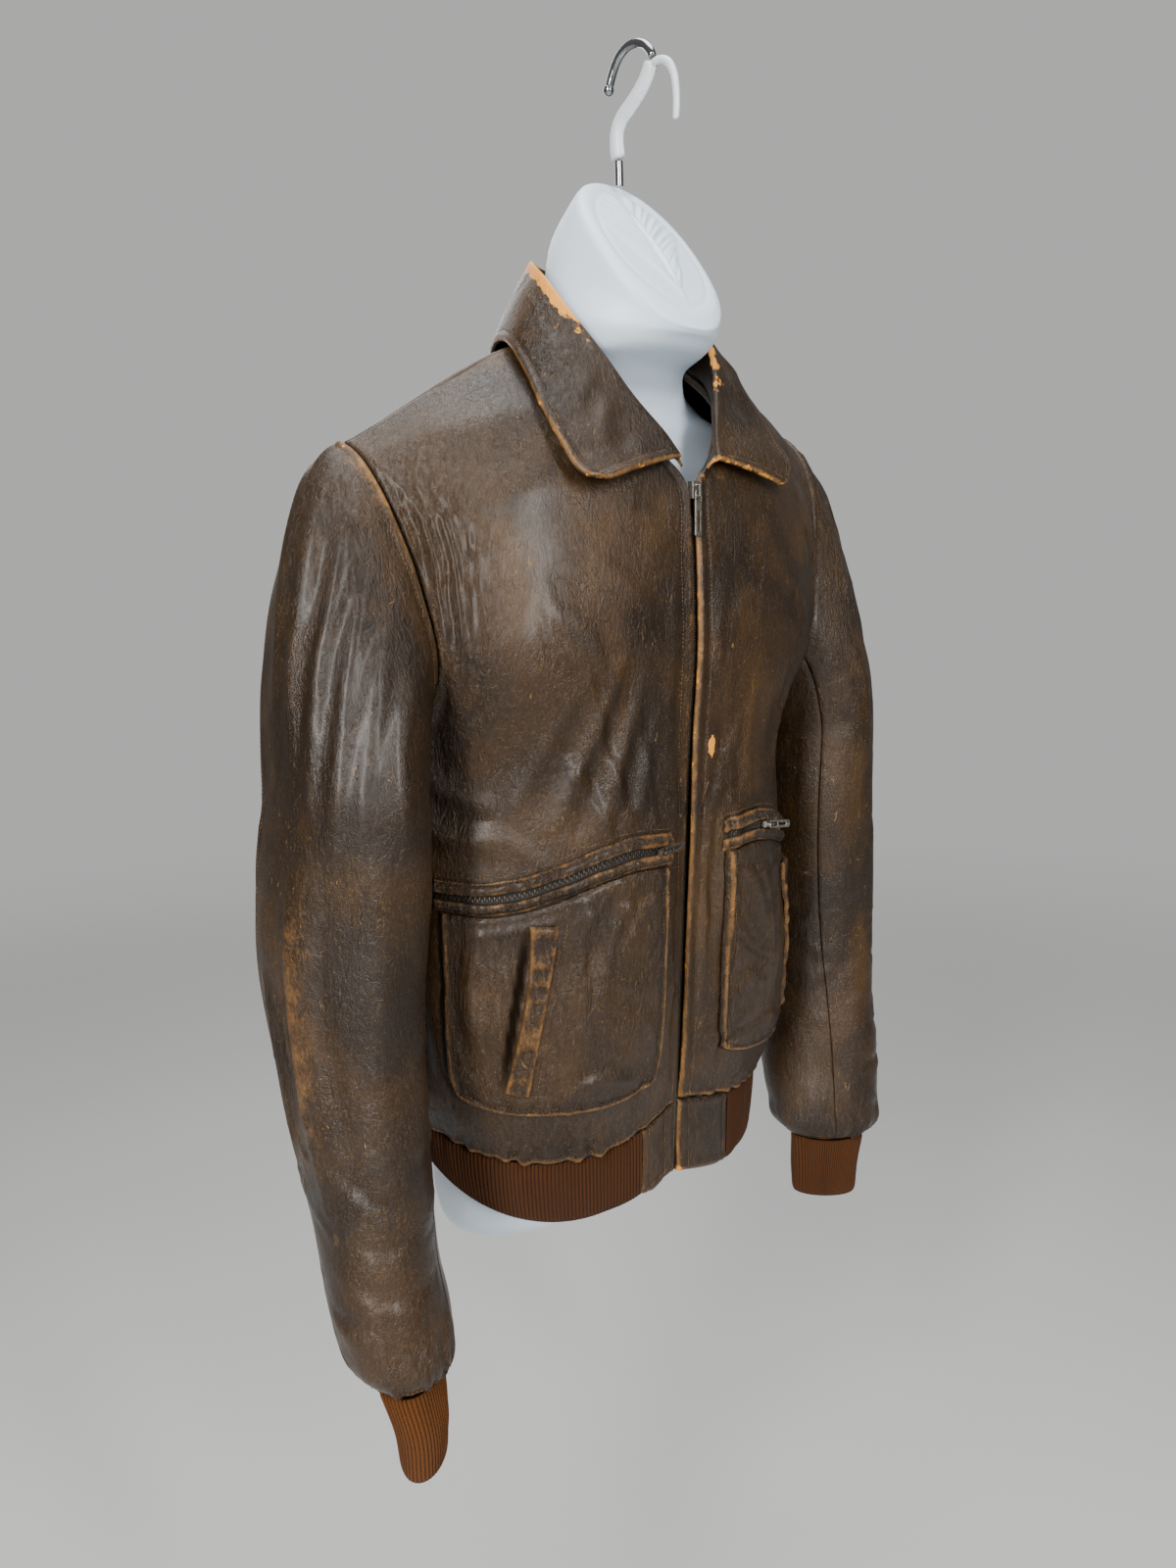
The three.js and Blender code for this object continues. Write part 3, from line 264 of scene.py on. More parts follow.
FOLDS_FRONT = {
    -1: mm([
        ([(0.98, 0.93), (0.91, 0.80), (0.95, 0.66)], 2.4, 8, 0.5),
        ([(0.90, 0.90), (0.84, 0.77), (0.88, 0.63)], 1.8, 6, 0.5),
        ([(0.83, 0.86), (0.77, 0.75), (0.80, 0.66)], 1.2, 6, 0.5),
        ([(1.00, 0.66), (0.90, 0.58), (0.76, 0.52)], -2.4, 9, 0.4),
        ([(0.99, 0.60), (0.85, 0.52), (0.62, 0.475)], 2.4, 9, 0.5),
        ([(0.98, 0.54), (0.82, 0.455), (0.60, 0.43)], 1.8, 8, 0.5),
        ([(0.47, 0.445), (0.38, 0.52), (0.26, 0.63)], 2.6, 8, 0.55),
        ([(0.34, 0.43), (0.27, 0.51), (0.19, 0.60)], 2.3, 7, 0.55),
        ([(0.56, 0.47), (0.50, 0.53), (0.41, 0.60)], 1.6, 9, 0.5),
        ([(0.22, 0.44), (0.18, 0.50), (0.13, 0.56)], 1.4, 5, 0.5),
        ([(0.07, 0.44), (0.085, 0.56), (0.06, 0.72)], 1.3, 5, 0.5),
        ([(0.13, 0.66), (0.24, 0.70), (0.36, 0.73)], 1.0, 9, 0.4),
        ([(0.30, 0.60), (0.42, 0.66), (0.56, 0.69)], 1.2, 11, 0.4),
        ([(0.50, 0.40), (0.60, 0.44), (0.74, 0.455)], 1.2, 6, 0.4),
        ([(0.10, 0.10), (0.075, 0.22), (0.085, 0.36)], 1.6, 5, 0.5),
        ([(0.02, 0.02), (0.05, 0.10), (0.045, 0.22)], 1.2, 4, 0.6),
        ([(0.84, 0.08), (0.88, 0.20), (0.87, 0.36)], -2.6, 8, 0.4),
        ([(0.94, 0.05), (0.95, 0.20), (0.97, 0.34)], 2.2, 8, 0.4),
        ([(0.86, 0.40), (0.93, 0.44), (1.0, 0.47)], 1.6, 7, 0.5),
    ]),
    1: mm([
        ([(0.98, 0.93), (0.91, 0.80), (0.95, 0.66)], 2.2, 8, 0.5),
        ([(0.90, 0.88), (0.84, 0.76), (0.87, 0.64)], 2.0, 7, 0.5),
        ([(0.80, 0.84), (0.75, 0.74), (0.79, 0.64)], 1.4, 6, 0.5),
        ([(1.00, 0.64), (0.90, 0.57), (0.74, 0.52)], -2.2, 9, 0.4),
        ([(0.98, 0.58), (0.80, 0.50), (0.60, 0.47)], 2.2, 9, 0.5),
        ([(0.17, 0.20), (0.13, 0.33), (0.18, 0.47)], 2.8, 8, 0.6),
        ([(0.24, 0.40), (0.20, 0.50), (0.24, 0.60)], 1.6, 8, 0.5),
        ([(0.36, 0.44), (0.44, 0.52), (0.56, 0.58)], 1.8, 9, 0.5),
        ([(0.07, 0.10), (0.055, 0.24), (0.07, 0.42)], 1.4, 5, 0.6),
        ([(0.09, 0.55), (0.06, 0.63), (0.08, 0.72)], 1.0, 5, 0.5),
        ([(0.12, 0.04), (0.14, 0.10), (0.22, 0.13)], -1.8, 5, 0.5),
        ([(0.88, 0.08), (0.86, 0.22), (0.90, 0.36)], -2.2, 8, 0.4),
        ([(0.60, 0.62), (0.50, 0.68), (0.38, 0.70)], 1.1, 10, 0.4),
        ([(0.20, 0.70), (0.30, 0.76), (0.44, 0.80)], 0.9, 9, 0.4),
        ([(0.86, 0.40), (0.93, 0.44), (1.0, 0.47)], 1.6, 7, 0.5),
    ]),
}
for _s in (-1, 1):
    FOLDS_FRONT[_s] = [(r[0], r[1] * 1.7, *r[2:]) for r in FOLDS_FRONT[_s]] + gathers(31 + _s, 34, W_PANEL, 2, 36, 17, 3.6, 5.2)
    FOLDS_FRONT[_s] += crinkles(131 + _s, 46, 10, W_PANEL - 8, 20, 520, 95, 30) + crinkles(141 + _s, 26, W_PANEL * 0.68, W_PANEL - 4, 330, 560, 100, 22, 1.1, (16, 50))
    FOLDS_FRONT[_s] += crinkles(151 + _s, 12, 6, 40, 20, 320, 90, 10, 1.6, (40, 110))
FOLDS_FRONT[1] += mm([([(0.060, 0.06), (0.045, 0.24), (0.062, 0.46)], 2.4, 4.0, 0.7), ([(0.105, 0.10), (0.090, 0.26), (0.110, 0.50)], 2.8, 5.0, 0.7), ([(0.150, 0.40), (0.135, 0.49), (0.165, 0.58)], 2.2, 4.5, 0.6), ([(0.08, 0.44), (0.115, 0.52), (0.10, 0.62)], 1.8, 4.5, 0.6)])
FOLDS_FRONT[-1] += mm([([(0.030, 0.0), (0.036, 0.20), (0.028, 0.42)], 2.0, 3.0, 0.6), ([(0.068, 0.02), (0.062, 0.22), (0.070, 0.40)], 2.0, 3.4, 0.6), ([(0.24, 0.43), (0.30, 0.52), (0.40, 0.62)], 2.6, 5.0, 0.6), ([(0.30, 0.425), (0.38, 0.50), (0.50, 0.56)], 2.2, 5.0, 0.6), ([(0.155, 0.43), (0.17, 0.50), (0.21, 0.58)], 2.0, 4.2, 0.6)])

FOLDS_BACK = {
    -1: mm([
        ([(0.98, 0.92), (0.90, 0.78), (0.94, 0.64)], 2.4, 9, 0.5),
        ([(0.88, 0.86), (0.80, 0.72), (0.84, 0.58)], 2.0, 9, 0.5),
        ([(1.0, 0.60), (0.82, 0.52), (0.55, 0.50)], 2.6, 10, 0.5),
        ([(1.0, 0.50), (0.76, 0.44), (0.40, 0.43)], 2.0, 9, 0.5),
        ([(0.9, 0.36), (0.60, 0.33), (0.22, 0.36)], 1.8, 10, 0.5),
        ([(0.66, 0.62), (0.50, 0.72), (0.42, 0.84)], 1.4, 12, 0.4),
        ([(0.30, 0.24), (0.26, 0.14), (0.32, 0.04)], 2.0, 9, 0.5),
        ([(0.62, 0.26), (0.60, 0.15), (0.66, 0.04)], 1.8, 9, 0.5),
        ([(0.84, 0.24), (0.86, 0.14), (0.84, 0.04)], 2.2, 9, 0.5),
    ]),
    1: mm([
        ([(0.98, 0.92), (0.90, 0.78), (0.94, 0.64)], 2.4, 9, 0.5),
        ([(0.86, 0.88), (0.79, 0.74), (0.83, 0.60)], 1.8, 8, 0.5),
        ([(1.0, 0.57), (0.80, 0.50), (0.50, 0.47)], 2.6, 10, 0.5),
        ([(1.0, 0.46), (0.72, 0.41), (0.35, 0.39)], 2.0, 9, 0.5),
        ([(0.85, 0.33), (0.55, 0.30), (0.20, 0.31)], 1.6, 10, 0.5),
        ([(0.60, 0.60), (0.46, 0.70), (0.40, 0.80)], 1.3, 12, 0.4),
        ([(0.22, 0.25), (0.20, 0.14), (0.16, 0.04)], 1.8, 9, 0.5),
        ([(0.50, 0.26), (0.48, 0.15), (0.52, 0.04)], 2.0, 9, 0.5),
        ([(0.76, 0.26), (0.78, 0.15), (0.74, 0.04)], 2.0, 9, 0.5),
    ]),
}
for _s in (-1, 1):
    FOLDS_BACK[_s] = [(r[0], r[1] * 1.6, *r[2:]) for r in FOLDS_BACK[_s]] + gathers(71 + _s, 6, W_PANEL, 2, 38, 16, 3.2, 5)
    FOLDS_BACK[_s] += crinkles(161 + _s, 60, 24, W_PANEL - 8, 20, 590, 90, 45)

def front_skin(side, S, V, lift=0.0, edges=True):
    """a point of the front's visible face, its normal, and the height field there"""
    P, n, ks, kv = frame_of(front0, side, S, V, side)
    X, Y = S * W_PANEL, V * H_PANEL
    h = creases(X, Y, FOLDS_FRONT[side]) * smooth(0, 26, (1 - S) * ks + 9)
    h = h * (0.35 + 0.65 * smooth(0, 20, S * ks)) + 0.8 * ripple(P, 5 + side, 90) * smooth(0, 30, S * ks)
    fine = h.copy()
    if edges:
        dS, dR, dB, dT = S * ks, (1 - S) * ks, V * kv, (1 - V) * kv
        h = h + seam(dS, 1.2, 1.3, 3.0, 2.4, 9.5, 0.8) + seam(dR, 1.3, 0.3, 4, 3, 60, 0)
        h = h + seam(dB, 1.6, 0.7, 4, 3, 60, 0) + seam(dT, 1.3, 0.5, 4, 3, 60, 0)
    Q = P + n * (h + lift)[..., None]
    # piped edge leans over the zip below the slider
    close = np.exp(-(S * ks / 7) ** 2) * smooth(-26, -60, P[..., 2])
    Q[..., 0] -= side * 1.5 * close
    return Q, n, fine, ks, kv

def back_skin(side, S, V, edges=True):
    P, n, ks, kv = frame_of(back0, side, S, V, -side)
    X, Y = S * W_PANEL, V * H_PANEL
    h = creases(X, Y, FOLDS_BACK[side]) * smooth(0, 26, (1 - S) * ks + 9) * smooth(0, 0.08, 1.03 - V)
    h = h * smooth(0, 0.16, S) + 0.9 * ripple(P, 9, 100) * smooth(0, 30, (1 - V) * kv + 6)
    fine = h.copy()
    if edges:
        dR, dB, dT = (1 - S) * ks, V * kv, (1 - V) * kv
        h = h + seam(dR, 1.3, 0.3, 4, 3, 60, 0) + seam(dB, 1.6, 0.7, 4, 3, 60, 0) + seam(dT, 1.3, 0.9, 4, 3, 8, 0.5)
    return P + n * h[..., None], n, fine, ks, kv

# ------------------------------------------------------------------ meshes
def to_object(name, verts, faces, attrs=None, smooth_shade=True, uv=None):
    me = bpy.data.meshes.new(name)
    me.from_pydata(((verts + SHIFT) * 0.001).tolist(), [], faces)
    for k, val in (attrs or {}).items():
        a = me.attributes.new(k, "FLOAT_VECTOR" if val.ndim == 2 else "FLOAT", "POINT")
        a.data.foreach_set("vector" if val.ndim == 2 else "value", np.ascontiguousarray(val, np.float32).ravel())
    if smooth_shade:
        me.polygons.foreach_set("use_smooth", [True] * len(me.polygons))
    me.update()
    o = bpy.data.objects.new(name, me)
    bpy.context.scene.collection.objects.link(o)
    return o

def wall(name, A, B, closed=False, attrs=None):
    """closed wall between outer grid A and inner grid B"""
    n, m = A.shape[:2]
    V = np.concatenate([A.reshape(-1, 3), B.reshape(-1, 3)])
    idx = np.arange(n * m).reshape(n, m)
    if closed:
        idx = np.concatenate([idx, idx[:1]])
    a0, a1, a2, a3 = idx[:-1, :-1].ravel(), idx[1:, :-1].ravel(), idx[1:, 1:].ravel(), idx[:-1, 1:].ravel()
    o = n * m
    F = [np.stack([a0, a1, a2, a3], 1), np.stack([a0, a3, a2, a1], 1) + o]
    lo, hi = idx[:, 0], idx[:, -1]
    F.append(np.stack([lo[:-1], lo[:-1] + o, lo[1:] + o, lo[1:]], 1))
    F.append(np.stack([hi[:-1], hi[1:], hi[1:] + o, hi[:-1] + o], 1))
    if not closed:
        l, r = idx[0], idx[-1]
        F.append(np.stack([l[:-1], l[1:], l[1:] + o, l[:-1] + o], 1))
        F.append(np.stack([r[:-1], r[:-1] + o, r[1:] + o, r[1:]], 1))
    F = np.concatenate(F)
    p = V[F]
    vol = np.einsum("ij,ij->i", p[:, 0], np.cross(p[:, 1], p[:, 2])).sum() + np.einsum("ij,ij->i", p[:, 0], np.cross(p[:, 2], p[:, 3])).sum()
    if vol < 0:
        F = F[:, ::-1]
    at = {}
    for k, val in (attrs or {}).items():
        v = val.reshape(-1, val.shape[-1]) if val.ndim == 3 else val.ravel()
        at[k] = np.concatenate([v, v])
    return to_object(name, V, F.tolist(), at)

def size_of(A):
    """flat width, length and area of grid A in metres"""
    du = np.linalg.norm(np.diff(A, axis=0), axis=-1).sum(0).max() / 1000
    dv = np.linalg.norm(np.diff(A, axis=1), axis=-1).sum(1).max() / 1000
    a = np.cross(A[1:, 1:] - A[:-1, :-1], A[:-1, 1:] - A[1:, :-1])
    return du, dv, np.linalg.norm(a, axis=-1).sum() / 2e6

def cloth(o, node, A, mat):
    du, dv, ar = size_of(A)
    ar = min(ar, du * dv * 0.999)
    o.data.materials.append(mat)
    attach(o, ROOT)
    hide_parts(node)
    return o

def cluster(L, step, a=True, b=True):
    e = [0, 0.8, 1.7, 2.8, 4.0, 5.4, 6.8, 8.2, 9.8, 12, 15]
    lo = e if a else [0]
    hi = [L - q for q in e][::-1] if b else [L]
    mid = np.linspace(lo[-1], hi[0], max(2, int(round((hi[0] - lo[-1]) / step)) + 1))[1:-1]
    return np.concatenate([lo, mid, hi]) / L

# ------------------------------------------------------------------ materials
class Nodes:
    def __init__(self, name):
        self.m = bpy.data.materials.new(name); self.m.use_nodes = True
        self.t = self.m.node_tree; self.b = self.t.nodes["Principled BSDF"]
        self.co = self.t.nodes.new("ShaderNodeTexCoord").outputs["Object"]
    def put(self, kind, **kw):
        n = self.t.nodes.new(kind)
        for k, v in kw.items():
            if isinstance(k, str) and hasattr(n, k):
                setattr(n, k, v)
        return n
    def link(self, a, b):
        self.t.links.new(a, b)
    def setin(self, n, key, v):
        if hasattr(v, "is_output") or isinstance(v, bpy.types.NodeSocket):
            self.link(v, n.inputs[key])
        else:
            n.inputs[key].default_value = v
    def noise(self, scale, detail=4, rough=0.55, dist=0.0, vec=None):
        n = self.put("ShaderNodeTexNoise"); self.setin(n, "Vector", vec or self.co)
        n.inputs["Scale"].default_value = scale; n.inputs["Detail"].default_value = detail
        n.inputs["Roughness"].default_value = rough; n.inputs["Distortion"].default_value = dist
        return n.outputs["Fac"]
    def voronoi(self, scale, feature="DISTANCE_TO_EDGE", vec=None, rand=1.0):
        n = self.put("ShaderNodeTexVoronoi"); n.feature = feature; self.setin(n, "Vector", vec or self.co)
        n.inputs["Scale"].default_value = scale; n.inputs["Randomness"].default_value = rand
        return n.outputs["Distance"]
    def attr(self, name, out="Fac"):
        n = self.put("ShaderNodeAttribute"); n.attribute_name = name
        return n.outputs[out]
    def math(self, op, a, b=0.0, c=None, clamp=False):
        n = self.put("ShaderNodeMath"); n.operation = op; n.use_clamp = clamp
        self.setin(n, 0, a); self.setin(n, 1, b)
        if c is not None:
            self.setin(n, 2, c)
        return n.outputs[0]
    def ramp(self, x, lo, hi, a=0.0, b=1.0):
        n = self.put("ShaderNodeMapRange"); n.interpolation_type = "SMOOTHSTEP"
        self.setin(n, "Value", x)
        for k, v in (("From Min", lo), ("From Max", hi), ("To Min", a), ("To Max", b)):
            n.inputs[k].default_value = v
        return n.outputs["Result"]
    def mix(self, f, a, b):
        n = self.put("ShaderNodeMix"); n.data_type = "RGBA"
        self.setin(n, 0, f)
        for k, v in ((6, a), (7, b)):
            if isinstance(v, tuple):
                n.inputs[k].default_value = (*v, 1)
            else:
                self.link(v, n.inputs[k])
        return n.outputs[2]
    def bump(self, h, strength, dist, prev=None):
        n = self.put("ShaderNodeBump"); n.inputs["Strength"].default_value = strength
        n.inputs["Distance"].default_value = dist; self.link(h, n.inputs["Height"])
        if prev is not None:
            self.link(prev, n.inputs["Normal"])
        return n.outputs["Normal"]
    def scaled(self, sx, sy, sz, vec=None):
        n = self.put("ShaderNodeMapping"); self.setin(n, "Vector", vec or self.co)
        n.inputs["Scale"].default_value = (sx, sy, sz)
        return n.outputs["Vector"]

def leather(name, dark=(0.0125, 0.0065, 0.0026), mid=(0.0300, 0.0148, 0.0044), tan=(0.215, 0.104, 0.027), base_wear=0.0, rough=0.33):
    N = Nodes(name); b = N.b
    wear, bare, painted_shade, crush = N.attr("wear"), N.attr("bare"), N.attr("dark"), N.attr("crush")
    cloud = N.noise(9, 5, 0.6, 0.6)
    fine = N.noise(70, 5, 0.62)
    col = N.mix(N.ramp(cloud, 0.34, 0.66), dark, mid)
    warm = N.ramp(N.noise(17, 4, 0.6, 0.4, N.scaled(1, 1, 0.55)), 0.50, 0.74)
    col = N.mix(N.math("MULTIPLY", warm, 0.50), col, (0.072, 0.035, 0.0088))
    # fine two-tone speckle of a rubbed finish
    speck = N.ramp(N.noise(430, 4, 0.7), 0.50, 0.66)
    col = N.mix(N.math("MULTIPLY", N.math("MULTIPLY", speck, 0.30), N.ramp(cloud, 0.30, 0.62, 0.35, 1.0)), col, (0.130, 0.066, 0.018))
    # worn places: the given map broken up by noise
    w = N.math("ADD", N.math("ADD", wear, base_wear), N.math("MULTIPLY", N.math("SUBTRACT", fine, 0.5), 1.0))
    w = N.math("ADD", w, N.math("MULTIPLY", N.math("SUBTRACT", N.noise(330, 4, 0.7), 0.5), 0.9))
    worn = N.ramp(w, 0.46, 1.08)
    tans = N.mix(N.ramp(N.noise(48, 3), 0.35, 0.7), tan, (tan[0] * 0.55, tan[1] * 0.5, tan[2] * 0.45))
    col = N.mix(N.math("MULTIPLY", worn, 0.9), col, tans)
    # bare hide where the finish is gone
    q = N.math("ADD", bare, N.math("MULTIPLY", N.math("SUBTRACT", N.noise(120, 5, 0.68), 0.5), 1.5))
    raw = N.ramp(q, 0.52, 0.66)
    col = N.mix(raw, col, (0.66, 0.27, 0.03))
    # small scuffs and flecks
    fl = N.ramp(N.noise(230, 3, 0.6, 1.2, N.scaled(1, 1, 0.45)), 0.66, 0.73)
    fl = N.math("MULTIPLY", fl, N.ramp(N.noise(14, 3), 0.42, 0.66, 0.15, 0.9))
    col = N.mix(fl, col, (0.25, 0.130, 0.038))
    # painted shade: the 'dark' attribute paints seam grooves, stitch lines and slits near black
    col = N.mix(N.math("MULTIPLY", painted_shade, 0.93), col, (0.006, 0.004, 0.003))
    N.link(col, b.inputs["Base Color"])
    r = N.math("ADD", N.ramp(N.noise(26, 4), 0.3, 0.7, rough - 0.06, rough + 0.10), N.math("MULTIPLY", worn, 0.12))
    r = N.math("ADD", r, N.math("MULTIPLY", raw, 0.2))
    N.link(r, b.inputs["Roughness"])
    # painted shade also takes the gloss away there
    N.link(N.math("MULTIPLY", N.math("SUBTRACT", 1.0, painted_shade, clamp=True), 0.36), b.inputs["Specular IOR Level"])
    N.link(N.math("MULTIPLY", N.math("SUBTRACT", 1.0, painted_shade, clamp=True), 0.14), b.inputs["Coat Weight"])
    b.inputs["Coat Roughness"].default_value = 0.24
    # grain, fine wrinkles, crushed skin
    warp = N.put("ShaderNodeVectorMath"); warp.operation = "ADD"
    sc = N.put("ShaderNodeVectorMath"); sc.operation = "SCALE"; sc.inputs["Scale"].default_value = 0.0016
    nz = N.put("ShaderNodeTexNoise"); nz.inputs["Scale"].default_value = 210; N.link(N.co, nz.inputs["Vector"])
    N.link(nz.outputs["Color"], sc.inputs[0]); N.link(N.co, warp.inputs[0]); N.link(sc.outputs[0], warp.inputs[1])
    wv = warp.outputs[0]
    pebble = N.ramp(N.voronoi(560, vec=wv), 0.0, 0.22)
    n1 = N.bump(pebble, 0.22, 0.0005)
    n2 = N.bump(N.noise(150, 4, 0.6, 0.5), 0.30, 0.0016, n1)
    cr = N.noise(175, 5, 0.62, 1.4, N.scaled(1.25, 1.25, 0.42))
    cr = N.math("MULTIPLY", N.math("SUBTRACT", cr, 0.5), N.math("ADD", crush, 0.16))
    n3 = N.bump(cr, 0.95, 0.0060, n2)
    lines = N.ramp(N.math("ABSOLUTE", N.math("SUBTRACT", N.noise(30, 3, 0.5, 2.2), 0.5)), 0.0, 0.016)
    n4 = N.bump(lines, 0.30, 0.0012, n3)
    N.link(n4, b.inputs["Normal"])
    return N.m

def knit(name, deep, top):
    N = Nodes(name); b = N.b
    u = N.attr("knit", "Vector")
    sep = N.put("ShaderNodeSeparateXYZ"); N.link(u, sep.inputs[0])
    rib, row, ridge = sep.outputs[0], sep.outputs[1], sep.outputs[2]
    fuzz = N.noise(900, 3, 0.7)
    v = N.math("SINE", N.math("ADD", N.math("MULTIPLY", row, 2 * math.pi / 1.5), N.math("MULTIPLY", N.math("ABSOLUTE", N.math("SINE", N.math("MULTIPLY", rib, math.pi / 1.6))), 2.4)))
    # painted shade: the rib valleys take the darker deep colour, the rib tops the top colour
    col = N.mix(N.ramp(ridge, 0.1, 0.9), deep, top)
    col = N.mix(N.math("MULTIPLY", N.ramp(N.noise(30, 4), 0.35, 0.7), 0.35), col, tuple(0.55 * c for c in top))
    col = N.mix(N.math("MULTIPLY", N.ramp(fuzz, 0.5, 0.7), 0.30), col, tuple(min(1, 1.7 * c) for c in top))
    # painted shade in the gaps between stitch rows
    col = N.mix(N.math("MULTIPLY", N.ramp(v, -1, 0.2, 1.0, 0.0), 0.35), col, tuple(0.3 * c for c in deep))
    N.link(col, b.inputs["Base Color"])
    b.inputs["Roughness"].default_value = 0.92
    b.inputs["Specular IOR Level"].default_value = 0.08
    b.inputs["Sheen Weight"].default_value = 0.04
    b.inputs["Sheen Roughness"].default_value = 0.5
    n1 = N.bump(v, 0.55, 0.0006)
    n2 = N.bump(fuzz, 0.35, 0.0004, n1)
    N.link(n2, b.inputs["Normal"])
    return N.m

def metal(name, col, rough, dirt=(0.05, 0.035, 0.025), amount=0.5):
    N = Nodes(name); b = N.b
    g = N.math("MULTIPLY", N.ramp(N.noise(300, 5, 0.65), 0.45, 0.68), amount)
    N.link(N.mix(g, col, dirt), b.inputs["Base Color"])
    b.inputs["Metallic"].default_value = 1.0
    N.link(N.ramp(N.noise(500, 4), 0.3, 0.7, rough * 0.8, rough * 1.5), b.inputs["Roughness"])
    N.link(N.bump(N.noise(700, 3), 0.08, 0.0003), b.inputs["Normal"])
    return N.m

def plastic(name, col, rough, speck=0.02, sub=0.0):
    N = Nodes(name); b = N.b
    c2 = tuple(max(0, c * (1 - speck * 3)) for c in col)
    N.link(N.mix(N.ramp(N.noise(6, 4), 0.35, 0.7), col, c2), b.inputs["Base Color"])
    N.link(N.ramp(N.noise(40, 4), 0.3, 0.7, rough * 0.9, rough * 1.15), b.inputs["Roughness"])
    b.inputs["Specular IOR Level"].default_value = 0.5
    if sub:
        b.inputs["Subsurface Weight"].default_value = sub
        b.inputs["Subsurface Radius"].default_value = (0.004, 0.005, 0.006)
        b.inputs["Subsurface Scale"].default_value = 1.0
    N.link(N.bump(N.noise(260, 3), 0.05, 0.0003), b.inputs["Normal"])
    return N.m

def woven(name, col):
    N = Nodes(name); b = N.b
    w = N.math("SINE", N.math("MULTIPLY", N.noise(5, 0), 0.0))
    wave = N.put("ShaderNodeTexWave"); wave.wave_type = "BANDS"; wave.bands_direction = "Z"
    N.link(N.co, wave.inputs["Vector"]); wave.inputs["Scale"].default_value = 420; wave.inputs["Distortion"].default_value = 0.6
    N.link(N.mix(wave.outputs["Fac"], col, tuple(1.8 * c for c in col)), b.inputs["Base Color"])
    b.inputs["Roughness"].default_value = 0.85
    N.link(N.bump(wave.outputs["Fac"], 0.4, 0.0003), b.inputs["Normal"])
    return N.m

M_LEATHER = leather("leather_worn_brown")
M_WELT = leather("leather_rubbed_tan", base_wear=0.12, rough=0.38)
M_BACK = M_LEATHER
# knit colours: the first is the painted shade of the rib valleys, the second the rib tops
M_HEM = knit("knit_hem_rust", (0.014, 0.0050, 0.0016), (0.066, 0.0225, 0.0060))
M_CUFF = knit("knit_cuff_rust", (0.028, 0.0095, 0.0024), (0.122, 0.0420, 0.0090))
# painted shade: a darker copy of the cuff knit for the far cuff
M_CUFF_FAR_SHADED = knit("knit_cuff_rust_painted_shade", (0.018, 0.0062, 0.0019), (0.082, 0.0280, 0.0068))
M_METAL = metal("zip_metal_dulled", (0.33, 0.31, 0.28), 0.34)
M_TEETH = metal("zip_teeth_antique", (0.16, 0.135, 0.11), 0.42, amount=0.6)
M_HOOK = metal("hook_dark_chrome", (0.34, 0.35, 0.37), 0.14, (0.2, 0.2, 0.2), 0.15)
M_TAPE = woven("zip_tape_black", (0.010, 0.008, 0.007))
M_FORM = plastic("form_white_plastic", (0.67, 0.775, 0.88), 0.42, 0.012, 0.25)
M_SLEEVE = plastic("hook_white_plastic", (0.62, 0.66, 0.70), 0.30, 0.02, 0.5)
M_THREAD = Nodes("thread_dark_tan")
M_THREAD.link(M_THREAD.mix(M_THREAD.ramp(M_THREAD.noise(90, 3), 0.4, 0.6), (0.035, 0.022, 0.013), (0.13, 0.072, 0.028)), M_THREAD.b.inputs["Base Color"])
M_THREAD.b.inputs["Roughness"].default_value = 0.75
M_THREAD = M_THREAD.m

# ------------------------------------------------------------------ stitches
STITCH = []
def stitches(P, N, pitch=3.1, length=2.2, r=0.34, lift=0.12):
    """thread stitches along polyline P with surface normals N"""
    seg = np.linalg.norm(np.diff(P, axis=0), axis=1); arc = np.concatenate([[0], np.cumsum(seg)])
    t = np.arange(pitch * 0.5, arc[-1] - pitch * 0.4, pitch)
    if len(t) < 1:
        return
    def at(x, A):
        return np.stack([np.interp(x, arc, A[:, k]) for k in range(3)], 1)
    c, n = at(t, P), unit(at(t, N))
    d = unit(at(t + 0.4, P) - at(t - 0.4, P)); n = unit(n - d * (n * d).sum(1)[:, None]); w = np.cross(d, n)
    c = c + n * lift
    ring = []
    for k, rr in ((-0.5, 0.45), (-0.25, 1.0), (0.25, 1.0), (0.5, 0.45)):
        for a in range(5):
            th = 2 * math.pi * a / 5
            ring.append(c + d * (k * length) + (n * math.cos(th) * 0.8 + w * math.sin(th)) * (r * rr))
    V = np.stack(ring, 1)
    F = []
    for j in range(3):
        for a in range(5):
            F.append([j * 5 + a, j * 5 + (a + 1) % 5, (j + 1) * 5 + (a + 1) % 5, (j + 1) * 5 + a])
    caps = [[4, 3, 2, 1, 0], [15, 16, 17, 18, 19]]
    STITCH.append((V, F, caps))

def flush_stitches(name, mat=None):
    vs, fs, o = [], [], 0
    for V, F, caps in STITCH:
        for row in V:
            vs.append(row)
            for f in F + caps:
                fs.append([q + o for q in f])
            o += 20
    STITCH.clear()
    if not vs:
        return None
    ob = to_object(name, np.concatenate(vs), fs)
    ob.data.materials.append(mat or M_THREAD)
    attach(ob, ROOT)
    return ob

